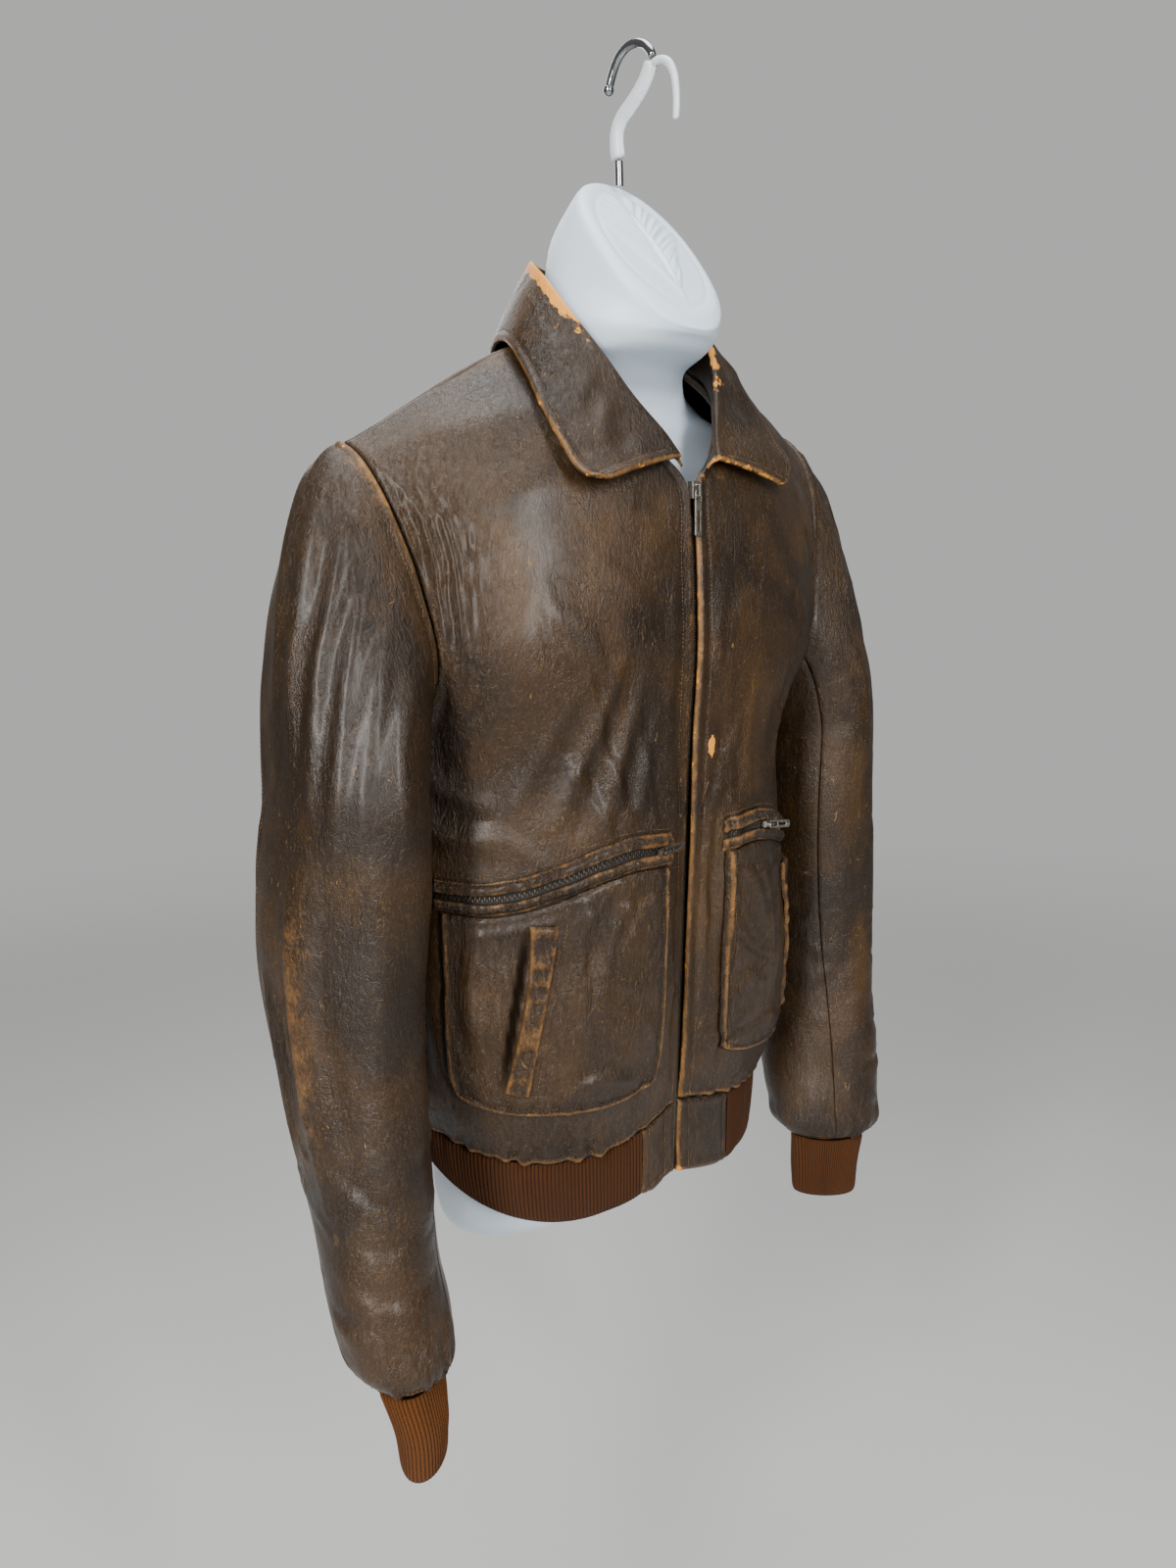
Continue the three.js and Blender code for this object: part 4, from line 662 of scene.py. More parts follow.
# ------------------------------------------------------------------ fronts
def front_wear_and_shade(side, S, V, fine, ks, kv):
    dS, dR, dB, dT = S * ks, (1 - S) * ks, V * kv, (1 - V) * kv
    w = (1.0 if side > 0 else 0.55) * np.exp(-(dS / (3.4 if side > 0 else 2.2)) ** 2) * smooth(0.86, 0.80, V) + 0.22 * bump(dS, 9, 3) + (0.55 * bump(dS, 4.0, 1.8) if side < 0 else 0.0) * smooth(0.86, 0.80, V)
    w = np.maximum(w, 0.80 * np.exp(-((dB - 3.5) / 2.6) ** 2)); w = np.maximum(w, 0.40 * np.exp(-((dR - 2) / 2) ** 2))
    w = np.maximum(w, 0.40 * np.exp(-((dT - 2) / 2) ** 2))
    w = w + 0.075 * np.clip(fine, -1.6, 4) + 0.12 * smooth(0.16, 0.02, V)
    # light patches rubbed round the pocket top and chest
    for s, v, rs, rv, a in ((0.10, 0.52, 0.05, 0.06, 0.22), (0.16, 0.66, 0.16, 0.08, 0.10), (0.35, 0.40, 0.30, 0.03, 0.10), (0.08, 0.30, 0.03, 0.15, 0.22)):
        w = w + a * np.exp(-((S - s) / rs) ** 2 - ((V - v) / rv) ** 2)
    bare = np.zeros_like(w) + 0.9 * np.exp(-(dB / 2) ** 2) * smooth(0.2, 0.0, S) * 0.5
    if side > 0:
        bare = np.maximum(bare, 1.6 * np.exp(-((S - 0.055) * ks / 3.4) ** 2 - ((V - 0.515) * kv / 9.5) ** 2))
        bare = np.maximum(bare, 0.46 * np.exp(-(dS / 2.0) ** 2) * smooth(0.80, 0.70, V))
        bare = np.maximum(bare, 1.0 * np.exp(-(dS / 8) ** 2 - (dT / 30) ** 2))
    crush = 0.9 * np.exp(-((S - 0.92) / 0.16) ** 2 - ((V - 0.73) / 0.14) ** 2) + 0.5 * np.exp(-((S - 0.9) / 0.2) ** 2 - ((V - 0.5) / 0.07) ** 2) + 0.6 * np.exp(-(V / 0.07) ** 2)
    # painted shade along the side and armhole seam and along the hem seam
    dark = 0.55 * np.exp(-(dR / 1.6) ** 2) + 0.5 * np.exp(-(dB / 1.2) ** 2)
    return dict(wear=w, bare=bare, crush=np.clip(crush, 0, 1), dark=np.clip(dark, 0, 1))

for side in (-1, 1):
    S = cluster(W_PANEL, 3.7) * 0.9990
    V = 0.0004 + cluster(H_PANEL, 3.7) * 0.9992
    Sg, Vg = np.meshgrid(S, V, indexing="ij")
    A, n, fine, ks, kv = front_skin(side, Sg, Vg)
    # the armhole and shoulder rims go straight back, so the walls stay apart
    B = A - n * 2.3
    o = wall(f"leather_front_{BODY[side]}", A, B, attrs=front_wear_and_shade(side, Sg, Vg, fine, ks, kv))
    cloth(o, f"front_{BODY[side]}", A, M_LEATHER)
    v = np.linspace(0.004, 0.80, 240)
    P, nn, *_ = front_skin(side, 9.6 / W_PANEL * np.ones_like(v), v); stitches(P, nn)
    s = np.linspace(0.03, 0.99, 120)
    P, nn, *_ = front_skin(side, s, np.full_like(s, 0.0085)); stitches(P, nn, 3.4)
    v = np.linspace(0.54, 0.99, 150)
    P, nn, *_ = front_skin(side, np.full_like(v, 1 - 7.5 / W_PANEL), v); stitches(P, nn, 3.4)

# ------------------------------------------------------------------ back
cols = [(-1, s) for s in cluster(W_PANEL, 4.2, a=False)[::-1]] + [(1, s) for s in cluster(W_PANEL, 4.2, a=False)[1:]]
V = 0.0004 + cluster(H_PANEL, 4.2) * 0.9992
parts = []
for sd in (-1, 1):
    Ss = np.array([s for q, s in cols if q == sd]) * 0.9990
    Sg, Vg = np.meshgrid(Ss, V, indexing="ij")
    A, n, fine, ks, kv = back_skin(sd, Sg, Vg)
    dR, dB, dT = (1 - Sg) * ks, Vg * kv, (1 - Vg) * kv
    wr = 0.75 * np.exp(-(dB / 3) ** 2); wr = np.maximum(wr, 0.40 * np.exp(-((dR - 2) / 2) ** 2)); wr = np.maximum(wr, 0.60 * np.exp(-((dT - 3) / 3) ** 2))
    wr = wr + 0.075 * np.clip(fine, -1.6, 4) + 0.12 * np.exp(-((Vg - 0.80) / 0.12) ** 2 - ((Sg - 0.5) / 0.4) ** 2)
    crush = 0.7 * np.exp(-((Sg - 0.93) / 0.14) ** 2 - ((Vg - 0.7) / 0.14) ** 2) + 0.6 * np.exp(-(Vg / 0.07) ** 2)
    # the last entry is painted shade along the side and armhole seam
    parts.append((A, A - n * 2.3, wr, crush, 0.5 * np.exp(-(dR / 1.6) ** 2)))
A = np.concatenate([p[0] for p in parts]); B = np.concatenate([p[1] for p in parts])
k = parts[0][0].shape[0]
o = wall("leather_back", A, B, attrs=dict(wear=np.concatenate([p[2] for p in parts]), crush=np.concatenate([p[3] for p in parts]), dark=np.concatenate([p[4] for p in parts]), bare=np.zeros(A.shape[:2])))
cloth(o, "back", A, M_LEATHER)
for sd in (-1, 1):
    s = np.linspace(NB_S + 0.02, 0.99, 110)
    _, _, _, _, kv = back_skin(sd, s, np.full_like(s, 0.99))
    P, nn, *_ = back_skin(sd, s, 1 - 8.0 / kv); stitches(P, nn, 3.1)
    s = np.linspace(0.0, 0.99, 110)
    P, nn, *_ = back_skin(sd, s, np.full_like(s, 0.0085)); stitches(P, nn, 3.4)
flush_stitches("thread_body")

# ------------------------------------------------------------------ hem band
def hem_drop(side, S, P, back):
    tab = 0.14 if side < 0 else 0.24
    share = np.clip((8 - P[..., 1]) / 111, 0, 1); rear = np.clip((P[..., 1] - 8) / 88, 0, 1)
    if side < 0:
        d = lerp(lerp(40, 50, rear) if back else 40.0, 56.0, share)
    else:
        d = lerp(lerp(60, 50, rear) if back else 60.0, 64.0, share)
    return d if back else np.where(S <= tab, (62.0 if side < 0 else 66.0) - (5.0 if side < 0 else 2.0) * smooth(tab - 0.06, tab, S), d)

def band(side, S, T, back):
    P = (back0 if back else front0)(side, S, np.zeros_like(S))
    d = hem_drop(side, S, P, back)
    inward = unit(np.stack([-P[..., 0], -P[..., 1] - 4, 0 * P[..., 0]], -1))
    tab = 0.14 if side < 0 else 0.24
    w = np.ones_like(S) if back else smooth(tab, tab + 0.16, S)
    k = lerp(0.8 * T, 1.2 + 5 * T * T, w)
    Q = P + inward * k[..., None]
    Q[..., 2] += -0.82 - (d - 1) * T
    return Q, -inward

def dense(fn, n, lo=0.0, hi=1.0):
    """parameter values evenly spaced along the curve fn"""
    t = np.linspace(lo, hi, 400); P = fn(t)
    a = np.concatenate([[0], np.cumsum(np.linalg.norm(np.diff(P, axis=0), axis=1))])
    return np.interp(np.linspace(0, a[-1], n), a, t), a[-1]

tabs = {-1: 0.14, 1: 0.24}
chain = []
for sd, back, lo, hi in ((-1, False, tabs[-1], 1.0), (-1, True, 1.0, 0.0), (1, True, 0.0, 1.0), (1, False, 1.0, tabs[1])):
    f = back0 if back else front0
    _, L = dense(lambda t: f(sd, t, np.zeros_like(t)), 2, min(lo, hi), max(lo, hi))
    k = int(round(L / 3.3)) * 6
    t, L = dense(lambda t: f(sd, t, np.zeros_like(t)), k + 1, min(lo, hi), max(lo, hi))
    t = t if hi > lo else t[::-1]
    chain.append((sd, back, t[:-1] if len(chain) < 3 else t, L))
T = np.linspace(0, 1, 15)
AA, NN, U = [], [], []
u0 = 0
for sd, back, t, L in chain:
    Sg, Tg = np.meshgrid(t, T, indexing="ij")
    Q, nn = band(sd, Sg, Tg, back)
    AA.append(Q); NN.append(nn); U.append(u0 + np.arange(len(t))); u0 += len(t)
A0, Nn, U = np.concatenate(AA), np.concatenate(NN), np.concatenate(U)
A0[0, :, 0] -= 0.5; A0[-1, :, 0] += 0.5
prof = np.abs(np.sin(np.pi * (U % 6) / 6.0)) ** 0.65
Tg = np.broadcast_to(T, A0.shape[:2])
Ug = np.broadcast_to(U[:, None], A0.shape[:2])
# the knit scallops a little where the leather is gathered onto it, and its lower edge rolls in
wavy = 0.9 * np.sin(Ug / 6 * 0.9 + 2 * np.sin(Ug / 6 * 0.23)) * (1 - Tg) ** 1.5
edge = -1.6 * smooth(0.90, 1.0, Tg) - 1.0 * smooth(0.10, 0.0, Tg)
h = (prof[:, None] - 0.6) * 1.15 * (1 - 0.5 * smooth(0.92, 1, Tg)) + edge + wavy
A = A0 + Nn * h[..., None]
B = A0 - Nn * 2.2
# the third channel is the rib profile, which also places the painted shade of the rib valleys
knt = np.stack([Ug / 6 * 3.3, Tg * 56, np.broadcast_to(prof[:, None], Tg.shape)], -1)
o = wall("knit_hem", A, B, attrs=dict(knit=knt))
cloth(o, "hem_rib", A0, M_HEM)

for sd in (-1, 1):
    s = cluster(tabs[sd] * W_PANEL, 3.5) * (tabs[sd] - 0.003) + 0.0005
    t = cluster(62, 3.5)
    Sg, Tg = np.meshgrid(s, t, indexing="ij")
    Q, nn = band(sd, Sg, Tg, False)
    dS, dE, dB, dT = Sg * W_PANEL, (tabs[sd] - Sg) * W_PANEL, (1 - Tg) * 62, Tg * 62
    h = seam(dS, 1.2, 1.2, 3, 2.4, 9.5, 0.7) + seam(dE, 1.3, 0.8, 4, 2.6, 8, 0.6) + seam(dB, 1.2, 0.6, 4, 2.6, 60, 0) + seam(dT, 1.2, 0.6, 3.5, 2.4, 60, 0)
    h = h + creases(dS, dT, [([(3, 6), (8, 24), (5, 48)], 1.2, 3.5, 0.5), ([(16, 4), (22, 22), (18, 52)], 1.0, 4.5, 0.5), ([(34, 3), (30, 24), (36, 50)], 1.2, 5, 0.5), ([(50, 4), (47, 30), (52, 52)], 1.0, 5, 0.5)])
    A = Q + nn * h[..., None]; A[..., 0] -= sd * 1.5 * np.exp(-(dS / 7) ** 2)
    w = 0.95 * np.exp(-(dS / 2.6) ** 2); w = np.maximum(w, 0.8 * np.exp(-(dE / 2.4) ** 2)); w = np.maximum(w, 0.85 * np.exp(-(dB / 2.8) ** 2)); w = np.maximum(w, 0.5 * np.exp(-(dT / 2) ** 2))
    bare = 0.75 * np.exp(-(dB / 4) ** 2 - (dS / 9) ** 2) + 0.35 * np.exp(-(dS / 3) ** 2)
    # dark is painted shade under the tab's top seam
    o = wall(f"leather_tab_{BODY[sd]}", A, A - nn * 2.3, attrs=dict(wear=w + 0.08, bare=bare, crush=0 * w + 0.45, dark=0.4 * np.exp(-(dT / 1.2) ** 2)))
    cloth(o, f"hem_tab_{BODY[sd]}", Q, M_LEATHER)
    tt = np.linspace(0.02, 0.97, 60)
    for ss in (9.6 / W_PANEL, tabs[sd] - 7.5 / W_PANEL):
        Q, nn = band(sd, np.full_like(tt, ss), tt, False); stitches(Q + nn * 0.35, nn)
    ss = np.linspace(0.012, tabs[sd] - 0.01, 40)
    Q, nn = band(sd, ss, np.full_like(ss, 1 - 7 / 62), False); stitches(Q + nn * 0.35, nn)
flush_stitches("thread_hem")

# ------------------------------------------------------------------ sleeves
SLEEVE = {
    -1: [[-225, 258, -29, 47, 76, 0], [-280, 261, -23, 49, 78, 0], [-352, 264, -22, 50, 77, -4], [-423, 266, -33, 48, 70, -10], [-490, 269, -52, 45, 62, -18],
         [-545, 271, -67, 42, 58, -28], [-585, 273, -84, 40, 53, -36], [-605, 273, -94, 34, 48, -40], [-616, 273, -99, 25, 36, -43]],
    1: [[-225, 258, -33, 48, 76, 0], [-280, 261, -28, 50, 78, 0], [-352, 263, -28, 50, 76, -4], [-423, 263, -36, 48, 69, -10], [-490, 261, -50, 45, 61, -18],
        [-545, 256, -62, 43, 58, -28], [-590, 250, -72, 41, 54, -36], [-612, 248, -77, 36, 50, -40], [-624, 248, -79, 26, 38, -43]],
}
CUFF = {
    -1: [[-618.5, 273, -100, 23, 33, -43], [-645, 272, -110, 19, 31, -44], [-680, 271, -111, 16, 30, -45]],
    1: [[-626.5, 248, -80, 24, 35, -43], [-655, 247, -80, 20, 33, -44], [-688, 246, -80, 17, 31, -45]],
}

def ring_at(side, rows, Z, phi):
    keys = [-r[0] for r in rows]
    vals = np.array([r[1:] for r in rows], float)
    r = curve(keys, np.repeat(vals[:, None, :], Z.size, 1), (-Z).ravel()).reshape(*Z.shape, 5)
    th = 2 * np.pi * phi; q = th - np.radians(r[..., 4])
    rad = 1 / np.hypot(np.cos(q) / r[..., 2], np.sin(q) / r[..., 3])
    return np.stack([side * (r[..., 0] + rad * np.cos(th)), r[..., 1] - rad * np.sin(th), Z], -1)

def arm_table(side):
    vf, vb = np.linspace(1, 0.53, 240), np.linspace(0.53, 1, 240)
    F, Bk = front0(side, np.ones_like(vf), vf), back0(side, np.ones_like(vb), vb)
    def arc(P):
        a = np.concatenate([[0], np.cumsum(np.linalg.norm(np.diff(P, axis=0), axis=1))]); return a / a[-1]
    a, b = arc(F), arc(Bk)
    phi = np.concatenate([0.5 * a, 0.5 + 0.5 * b[1:]]); pts = np.concatenate([F, Bk[1:]])
    return phi, pts, float(np.interp(-0.62, -vf, 0.5 * a)), float(np.interp(0.80, vb, 0.5 + 0.5 * b))

def sleeve_folds(side, phi, Z, seed):
    """phi is the share of the way round (0 outside, 0.25 front, 0.5 body side), Z the height"""
    X, Y = phi * 390.0, -Z
    pl = lambda pts, a, w, l=0.5: ([(p * 390.0, -z) for p, z in pts], a, w, l)
    rows = [
        pl([(-0.03, 0), (-0.02, -70), (-0.035, -170)], 1.8, 8), pl([(0.03, -4), (0.035, -90), (0.02, -200)], 2.2, 7),
        pl([(0.085, -12), (0.10, -110), (0.085, -230)], 2.4, 7), pl([(0.14, -28), (0.155, -130), (0.14, -260)], 2.2, 7),
        pl([(0.195, -50), (0.20, -140), (0.185, -240)], 1.8, 6), pl([(0.25, -70), (0.24, -170), (0.25, -260)], 1.6, 7),
        pl([(0.205, -200), (0.215, -330), (0.19, -500)], 2.6, 12), pl([(0.13, -240), (0.125, -350), (0.14, -470)], -1.8, 11),
        pl([(0.04, -260), (0.05, -370), (0.06, -500)], 2.0, 12), pl([(0.30, -200), (0.31, -330), (0.29, -450)], 1.8, 12),
        pl([(-0.055, -335), (-0.035, -400), (-0.045, -470)], -2.6, 5, 0.7), pl([(-0.015, -345), (-0.005, -395), (-0.02, -450)], -2.2, 5, 0.7),
        pl([(0.02, -330), (0.03, -380), (0.015, -430)], -1.5, 4.5, 0.7),
        pl([(0.06, -452), (0.15, -472), (0.22, -500)], -0.9, 5), pl([(0.10, -500), (0.17, -512), (0.27, -506)], -0.6, 6),
        pl([(0.08, -526), (0.16, -544), (0.28, -548)], -0.9, 5), pl([(0.0, -556), (0.08, -566), (0.14, -560)], -0.8, 5),
        pl([(0.32, -380), (0.39, -404), (0.47, -410)], 1.2, 6), pl([(0.29, -430), (0.35, -434), (0.43, -424)], 0.9, 7),
        pl([(0.31, -446), (0.40, -466), (0.48, -472)], 1.1, 6), pl([(0.34, -500), (0.40, -502), (0.47, -490)], 0.7, 7),
        pl([(0.42, -215), (0.50, -240), (0.58, -220)], 2.4, 9), pl([(0.40, -250), (0.50, -275), (0.60, -252)], 1.8, 9),
        pl([(0.62, -240), (0.65, -330), (0.63, -420)], 2.2, 10), pl([(0.72, -120), (0.73, -240), (0.70, -360)], 2.2, 10),
        pl([(0.80, -60), (0.79, -170), (0.80, -290)], 2.0, 9), pl([(0.88, -20), (0.89, -110), (0.87, -220)], 1.9, 8),
        pl([(0.60, -430), (0.68, -446), (0.76, -440)], -1.8, 5), pl([(0.58, -500), (0.67, -512), (0.78, -505)], -1.6, 5),
        pl([(0.82, -470), (0.90, -482), (0.98, -474)], -1.4, 5), pl([(0.74, -548), (0.84, -556), (0.94, -548)], -1.6, 5),
    ]
    h = 0
    full = [(r[0], r[1] * 1.55, *r[2:]) for r in rows] + gathers(seed, -40, 400, 612, -34, 15, 3.0, 4.2)
    full += crinkles(seed + 7, 60, 0, 390, 0, 590, 85, 30) + crinkles(seed + 8, 30, 0, 390, 380, 590, 20, 30, 1.1, (16, 46)) + crinkles(seed + 9, 16, 10, 90, 0, 160, 95, 14, 1.3, (26, 60))
    for shift in (-390.0, 0.0, 390.0):       # the tube closes on itself
        h = h + creases(X + shift, Y, full) * (1.0)
    return h

for side in (-1, 1):
    phiT, ptsT, phF, phB = arm_table(side)
    zend = SLEEVE[side][-1][0]
    tcap = np.concatenate([np.array([0, 0.4, 0.9, 1.5, 2.2, 3.0, 4.0, 5.2]) / 120, np.linspace(6.6 / 120, 1, 44)])
    zlow = np.concatenate([np.arange(-225 - 3.9, zend + 12, -3.9), zend + np.array([10, 7.5, 5.5, 3.8, 2.4, 1.2, 0.0])])
    nc = len(tcap)
    def skin(phi, rows=None, edges=True):
        """phi (n,), all rows down the sleeve; returns the grid"""
        ph = np.mod(phi, 1.0)
        A = np.stack([np.interp(ph, phiT, ptsT[:, k]) for k in range(3)], 1)
        A = A + unit(np.array([side, 0, -0.3])) * 0.34
        t = tcap[None, :, None]; P = ph[:, None]
        c, s = np.cos(2 * np.pi * ph), np.sin(2 * np.pi * ph); up = (1 + c) / 2
        TA = np.stack([side * lerp(10, 150, up ** 1.2), -s * 46, lerp(-26, -6, up)], 1)[:, None]
        TB = np.stack([0 * up, 0 * up, -lerp(20, 290, up)], 1)[:, None]
        R0 = ring_at(side, SLEEVE[side], np.full(len(ph), -225.0), ph)[:, None]
        a, b, cc, d = 2 * t**3 - 3 * t**2 + 1, t**3 - 2 * t**2 + t, -2 * t**3 + 3 * t**2, t**3 - t**2
        cap = A[:, None] * a + TA * b + R0 * cc + TB * d
        Zg, Pg = np.broadcast_arrays(zlow[None, :], ph[:, None])
        low = ring_at(side, SLEEVE[side], Zg, Pg)
        return np.concatenate([cap, low], 1)
    # even columns on a fine ring, so both pieces share one skin and one set of normals
    def columns(lo, hi):
        L = (hi - lo) * 390
        return lo + cluster(L, 3.9) * (hi - lo)
    zt = np.concatenate([lerp(24, -225, tcap), zlow])
    for name, lo, hi in (("sleeve_top", phB - 1, phF), ("sleeve_under", phF, phB)):
        ph = columns(lo + 0.0006, hi - 0.0006)
        G = skin(ph)
        e = 0.004
        du = skin(ph + e) - skin(ph - e)
        dv = np.empty_like(G); dv[:, 1:-1] = G[:, 2:] - G[:, :-2]; dv[:, 0] = G[:, 1] - G[:, 0]; dv[:, -1] = G[:, -1] - G[:, -2]
        n = unit(np.cross(du, dv))
        mid = G.mean(0, keepdims=True)
        cen = np.array([side * 262.0, -30.0, 0]); vote = (n[:, nc:] * (G[:, nc:] - np.array([side * 262.0, -40, 0]) * [1, 1, 0] - G[:, nc:] * [0, 0, 1])).sum(-1).mean()
        if vote < 0:
            n = -n
        Pg, Zg = np.meshgrid(ph, zt, indexing="ij")
        top = np.concatenate([np.zeros((len(ph), 1)), np.cumsum(np.linalg.norm(np.diff(G, axis=1), axis=-1), axis=1)], 1)
        dEnd = top[:, -1:] - top
        fine = sleeve_folds(side, Pg, Zg, 50 + side) * smooth(0, 30, top + 3) * smooth(0.0, 4.0, dEnd + 1.0)
        fine = fine * (0.25 + 0.75 * smooth(0.0, 0.35, np.abs(np.mod(Pg, 1.0) - 0.5) + 0.12)) + 1.0 * ripple(G, 21 + side, 95) * smooth(0, 40, top)
        dl, dh = (Pg - lo) * 390, (hi - Pg) * 390
        fr, bk = (dh, dl) if name == "sleeve_top" else (dl, dh)
        h = fine + seam(bk, 1.2, 1.0, 3.6, 2.6, 60, 0) + seam(fr, 0.5, 0.2, 3.6, 2.6, 60, 0) + seam(top, 0.9, 1.5, 4.2, 3.2, 9, 0.8) - 1.2 * np.exp(-(dEnd / 2) ** 2)
        # keep to the cloth's space where arm and body are close
        inner = smooth(0.16, 0.06, np.abs(np.mod(Pg, 1.0) - 0.5)) * smooth(-120, -200, Zg)
        h = np.where(h > 0, h * (1 - 0.85 * inner), h)
        A = G + n * h[..., None]
        rim = n.copy()
        B = A - n * 2.2
        back_l, back_h = (dl, dh) if name == "sleeve_top" else (dh, dl)
        w = 0.62 * np.exp(-((back_l - 1) / 3) ** 2); w = np.maximum(w, 0.10 * np.exp(-(back_h / 2) ** 2)); w = np.maximum(w, (0.62 if side < 0 else 0.42) * np.exp(-((top - 4) / 2.6) ** 2) + 0.22 * np.exp(-((top - 12) / 5) ** 2)); w = np.maximum(w, 0.85 * np.exp(-(dEnd / 4) ** 2))
        outer = np.exp(-(np.minimum(np.mod(Pg - 0.02, 1), 1 - np.mod(Pg - 0.02, 1)) / 0.12) ** 2)
        w = w + (0.15 if side < 0 else 0.0) * outer * bump(Zg, -330, 210) + (0.13 if side < 0 else 0.03) * np.exp(-((np.mod(Pg - 0.08 + 0.5, 1) - 0.5) / 0.16) ** 2) + 0.075 * np.clip(fine, -1.6, 4) + 0.24 * outer * bump(Zg, -420, 130) + 0.10 * bump(Zg, -330, 120) * np.exp(-((Pg - 0.16) / 0.1) ** 2) + 0.30 * outer * bump(Zg, 15, 18)
        w = w + 0.35 * np.exp(-((Pg - (phB - 1)) * 390 / 9) ** 2) * bump(Zg, -440, 90)
        bare = (0.40 if side < 0 else 0.2) * outer * np.exp(-((top - 5) / 4) ** 2) + 0.42 * np.exp(-(dEnd / 3) ** 2)
        crush = 0.6 * np.exp(-(dEnd / 30) ** 2) + 0.5 * bump(Zg, -420, 70) * np.exp(-((Pg + 0.02) / 0.08) ** 2) + 0.45 * bump(Zg, -60, 60) * np.exp(-((Pg - 0.14) / 0.12) ** 2)
        # painted shade along the armhole seam and both sleeve seams
        dark = 0.5 * np.exp(-(top / 1.4) ** 2) + 0.4 * np.exp(-(back_l / 1.2) ** 2) + 0.15 * np.exp(-(back_h / 1.2) ** 2)
        o = wall(f"leather_{name}_{BODY[side]}", A, B, attrs=dict(wear=w, bare=bare, crush=np.clip(crush, 0, 1), dark=np.clip(dark, 0, 1)))
        cloth(o, f"{name}_{BODY[side]}", G, M_LEATHER)
        # topstitching beside the armhole seam and the back seam
        js = np.argmin(np.abs(top - 8.6), axis=1)
        P = A[np.arange(len(ph)), js]; stitches(P, n[np.arange(len(ph)), js], 3.4)
        if name == "sleeve_top":
            i = int(np.argmin(np.abs(ph - (lo + 7.0 / 390)))); stitches(A[i, 3:-3], n[i, 3:-3], 3.2)
        je = np.argmin(np.abs(dEnd - 7.5), axis=1)
        P = A[np.arange(len(ph)), je]; stitches(P, n[np.arange(len(ph)), je], 3.4)
    # knitted cuff
    zt0, zt1 = CUFF[side][0][0], CUFF[side][-1][0]
    per = 64
    ph = np.arange(per * 6) / (per * 6)
    Zc = np.linspace(zt0, zt1, 20)
    Pg, Zg = np.meshgrid(ph, Zc, indexing="ij")
    G = ring_at(side, CUFF[side], Zg, Pg)
    cc = np.array([side * CUFF[side][1][1], CUFF[side][1][2]])
    nn = np.zeros_like(G); nn[..., :2] = unit(np.stack([G[..., 0] - np.interp(-Zg, [-r[0] for r in CUFF[side]], [side * r[1] for r in CUFF[side]]), G[..., 1] - np.interp(-Zg, [-r[0] for r in CUFF[side]], [r[2] for r in CUFF[side]])], -1))
    T = (zt0 - Zg) / (zt0 - zt1)
    prof = np.abs(np.sin(np.pi * (np.arange(per * 6) % 6) / 6)) ** 0.65
    h = (prof[:, None] - 0.6) * 1.1 * (1 - 0.4 * smooth(0.93, 1, T)) - 1.2 * smooth(0.93, 1, T) - 0.8 * smooth(0.06, 0, T) + 1.2 * np.sin(Pg * 2 * np.pi * 7 + 1.2 * np.sin(Pg * 2 * np.pi * 2)) * (1 - T) ** 2 + 0.9 * np.sin(Pg * 2 * np.pi * 3 + 4 * T) * T * (1 - T) * 3
    A = G + nn * h[..., None]
    # the third channel is the rib profile, which also places the painted shade of the rib valleys
    knt = np.stack([Pg * per * 2.9, T * 62, np.broadcast_to(prof[:, None], T.shape)], -1)
    o = wall(f"knit_cuff_{BODY[side]}", A, G - nn * 1.9, True, attrs=dict(knit=knt))
    # the far cuff takes the darker copy of the knit as painted shade
    cloth(o, f"cuff_{BODY[side]}", np.concatenate([G, G[:1]]), M_CUFF if side < 0 else M_CUFF_FAR_SHADED)
flush_stitches("thread_sleeves")

# ------------------------------------------------------------------ collar
COLLAR = [
    [[10, -124, 6], [20, -127, 15], [106, -131, -6]], [[20, -121, 14], [28, -118, 31], [113, -118, 4]], [[33, -114, 28], [43, -104, 58], [116, -100, 24]],
    [[49, -100, 49], [59, -90, 86], [117, -82, 48]], [[62, -82, 72], [73, -76, 113], [111, -58, 74]], [[68, -54, 93], [75, -50, 143], [99, -24, 99]],
    [[66, -16, 108], [61, -20, 161], [82, 10, 104]], [[50, 13, 115], [41, 1, 166], [57, 45, 99]], [[28, 27, 118], [22, 11, 166], [31, 66, 91]], [[0, 31, 118], [0, 14, 165], [0, 73, 86]],
]
def collar_column(side, k):
    m = lambda p: np.array([p[0] * side, p[1], p[2]], float)
    N, F, E = [m(p) for p in COLLAR[k]]
    if side > 0 and 3 < k < 8:
        F = F + np.array([-6.0, 0, 0])
    if side > 0 and 0 < k < 7:
        E = E + [5, -7, 8]
    elif 1 < k < 7:
        E = E + [0, -1, 1]
    away = unit(np.array([F[0], F[1] + 55, 0.0]))
    z = np.array([0, 0, 1.0])
    return np.array([N, lerp(N, F, 0.55), lerp(N, F, 0.9) + away * 0.5, F + away * 3.6, lerp(F, E, 0.14) + away * 3.4 + z,
                     lerp(F, E, 0.45) + away * 4 + z * 2, lerp(F, E, 0.75) + away * 2.6 + z * 1.4, E])
C = np.array([collar_column(-1, k) for k in range(10)] + [collar_column(1, k) for k in range(8, -1, -1)])
ncol, nrow = C.shape[:2]
ki = np.concatenate([[0], np.cumsum(np.linalg.norm(np.diff((C[:, 3] + C[:, 7]) / 2, axis=0), axis=1))])
kj = np.array([0, 24, 38, 44, 52, 74, 96, 112.0])
Lc = ki[-1]
ti = cluster(Lc, 3.6) * Lc
